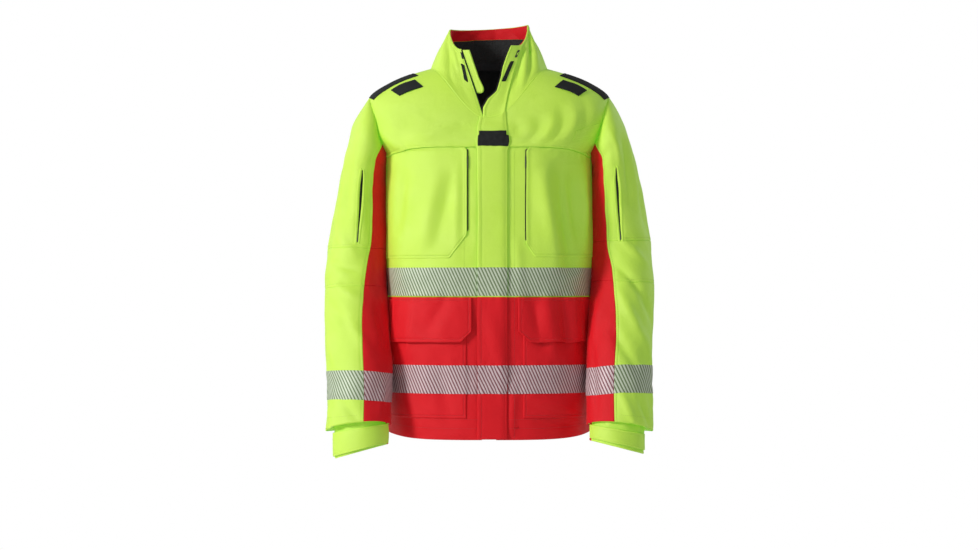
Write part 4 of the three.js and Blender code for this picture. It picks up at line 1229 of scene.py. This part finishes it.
on_yellow = [row(body, (-500 * h, -1), (-14 * h, -1), 2.0, along=lambda u: yoke_edge(u) + 6) for h in (1, -1)]
on_yellow += [upright_row(body, u, -405, -140, 0.25) for u in (46, -45)]
on_red = [row(body, (u0, -1), (u1, -1), 0.15, along=lambda u, r=rise: hem_edge(u) + r)
          for rise in (36, 20) for u0, u1 in ((15, 200), (-15, -200), (318, 720))]
on_red += [upright_row(body, 46, -655, -412, 0.25)]
for side, hand in SIDES:
    inner, corner, cut, bottom = CHEST_POCKETS[side]
    first, turn, last = hand * (inner + 5), hand * (cut + 2), hand * (SIDE_FRONT - 6)
    on_yellow += [
        upright_row(body, first, corner, -146, 2.1),
        row(body, (first, corner + 2), (turn, bottom + 5), 1.5),
        level_row(body, turn, last, bottom + 5, 1.5),
    ]
    first = hand * (FLAPS[side][0] + 15)
    on_red += [level_row(body, first, last, -617, 2.1), upright_row(body, first, -617, -495, 2.1)]
bead_rows("coat_stitches_yellow", on_yellow, yellow_thread, "coat")
bead_rows("coat_stitches_red", on_red, red_thread, "coat")
neck_rows = [level_row(collar, -296, 280, 93, 2.1), upright_row(collar, -295, 93, 6, 2.1),
             row(collar, (0, 4), (0, 92), 4.0, across=lambda v: left_edge(v) - 4)]
bead_rows("collar_stitches", neck_rows, yellow_thread, "coat", COLLAR_STITCH)
upper_rows = [row(body, (0, COLOUR_CHANGE + 4), (0, -8), 3.2, across=lambda v: flap_sewn_edge(v) - 4),
              row(body, (0, COLOUR_CHANGE + 4), (0, -8), 6.1, across=lambda v: flap_free_edge(v) + 7)]
lower_rows = [upright_row(body, FLAP_SEAM - 4, HEM + 6, COLOUR_CHANGE - 4, 3.2),
              upright_row(body, FLAP_FREE + 7, HEM + 6, COLOUR_CHANGE - 4, 6.9)]
bead_rows("storm_flap_stitches_yellow", upper_rows, yellow_thread, "storm_flap")
bead_rows("storm_flap_stitches_red", lower_rows, red_thread, "storm_flap")
for side, hand in SIDES:
    inner, outer, _ = FLAPS[side]

    def hem_of_flap(u):
        return FLAP_BOTTOM + 20 * np.clip((inner + 20 - np.abs(u)) / 20, 0, 1) + 6

    first, last = hand * (inner + 6), hand * (outer - 6)
    lid_rows = [row(body, (first, 0), (last, 0), 7.6, along=hem_of_flap),
                upright_row(body, first, FLAP_BOTTOM + 24, FLAP_TOP - 3, 6.2),
                level_row(body, first, last, FLAP_TOP - 5, 4.2)]
    bead_rows("pocket_flap_stitches_" + side, lid_rows, red_thread, "pocket_flap_" + side)
    form, (upper, lower) = sleeve_forms[side], SLEEVE_SEAMS[side]
    sleeve_parts = (
        ("head", upper + 5, -66, ((120, upper + 5),), bends_at_shoulder),
        ("low", SLEEVE_END + 8, upper - 5, ((100, lower + 5), (100, SLEEVE_END + 22)), bends_at_elbow),
    )
    for part, low, high, rounds, bend in sleeve_parts:
        rows = [row(form, (0, low), (0, high), 1.75, across=lambda v: under_seam(v) - 5)]
        rows += [level_row(form, -136, end, level, 1.75) for end, level in rounds]
        made = bead_rows(f"sleeve_stitches_{part}_{side}", rows, yellow_thread, None)
        bend(made, hand)

coil_rows = [upright_row(collar, -301, 6, 98, 1.2),
             row(collar, (0, 8), (0, 98), 0.6, across=lambda v: left_edge(v) + 1.6)]
coil_rows += [upright_row(body, u, HEM + 12, -6, -2.2) for u in (-1.2, 1.2)]
for side, hand in SIDES:
    inner, corner = CHEST_POCKETS[side][:2]
    coil_rows.append(upright_row(body, hand * (inner - 1.2), corner + 8, -146, 1.2))
bead_rows("zip_coils", coil_rows, coil_black, "coat", COIL)
for side, hand in SIDES:
    (u0, v0), (u1, v1) = ZIP_LINE[side]
    rows = [row(sleeve_forms[side], (u0, v0 - 2), (u1, v1 + 2), 1.9)]
    coil = bead_rows("sleeve_zip_coil_" + side, rows, coil_black, None, SLEEVE_COIL)
    bends_at_shoulder(coil, hand)

bpy.context.view_layer.update()
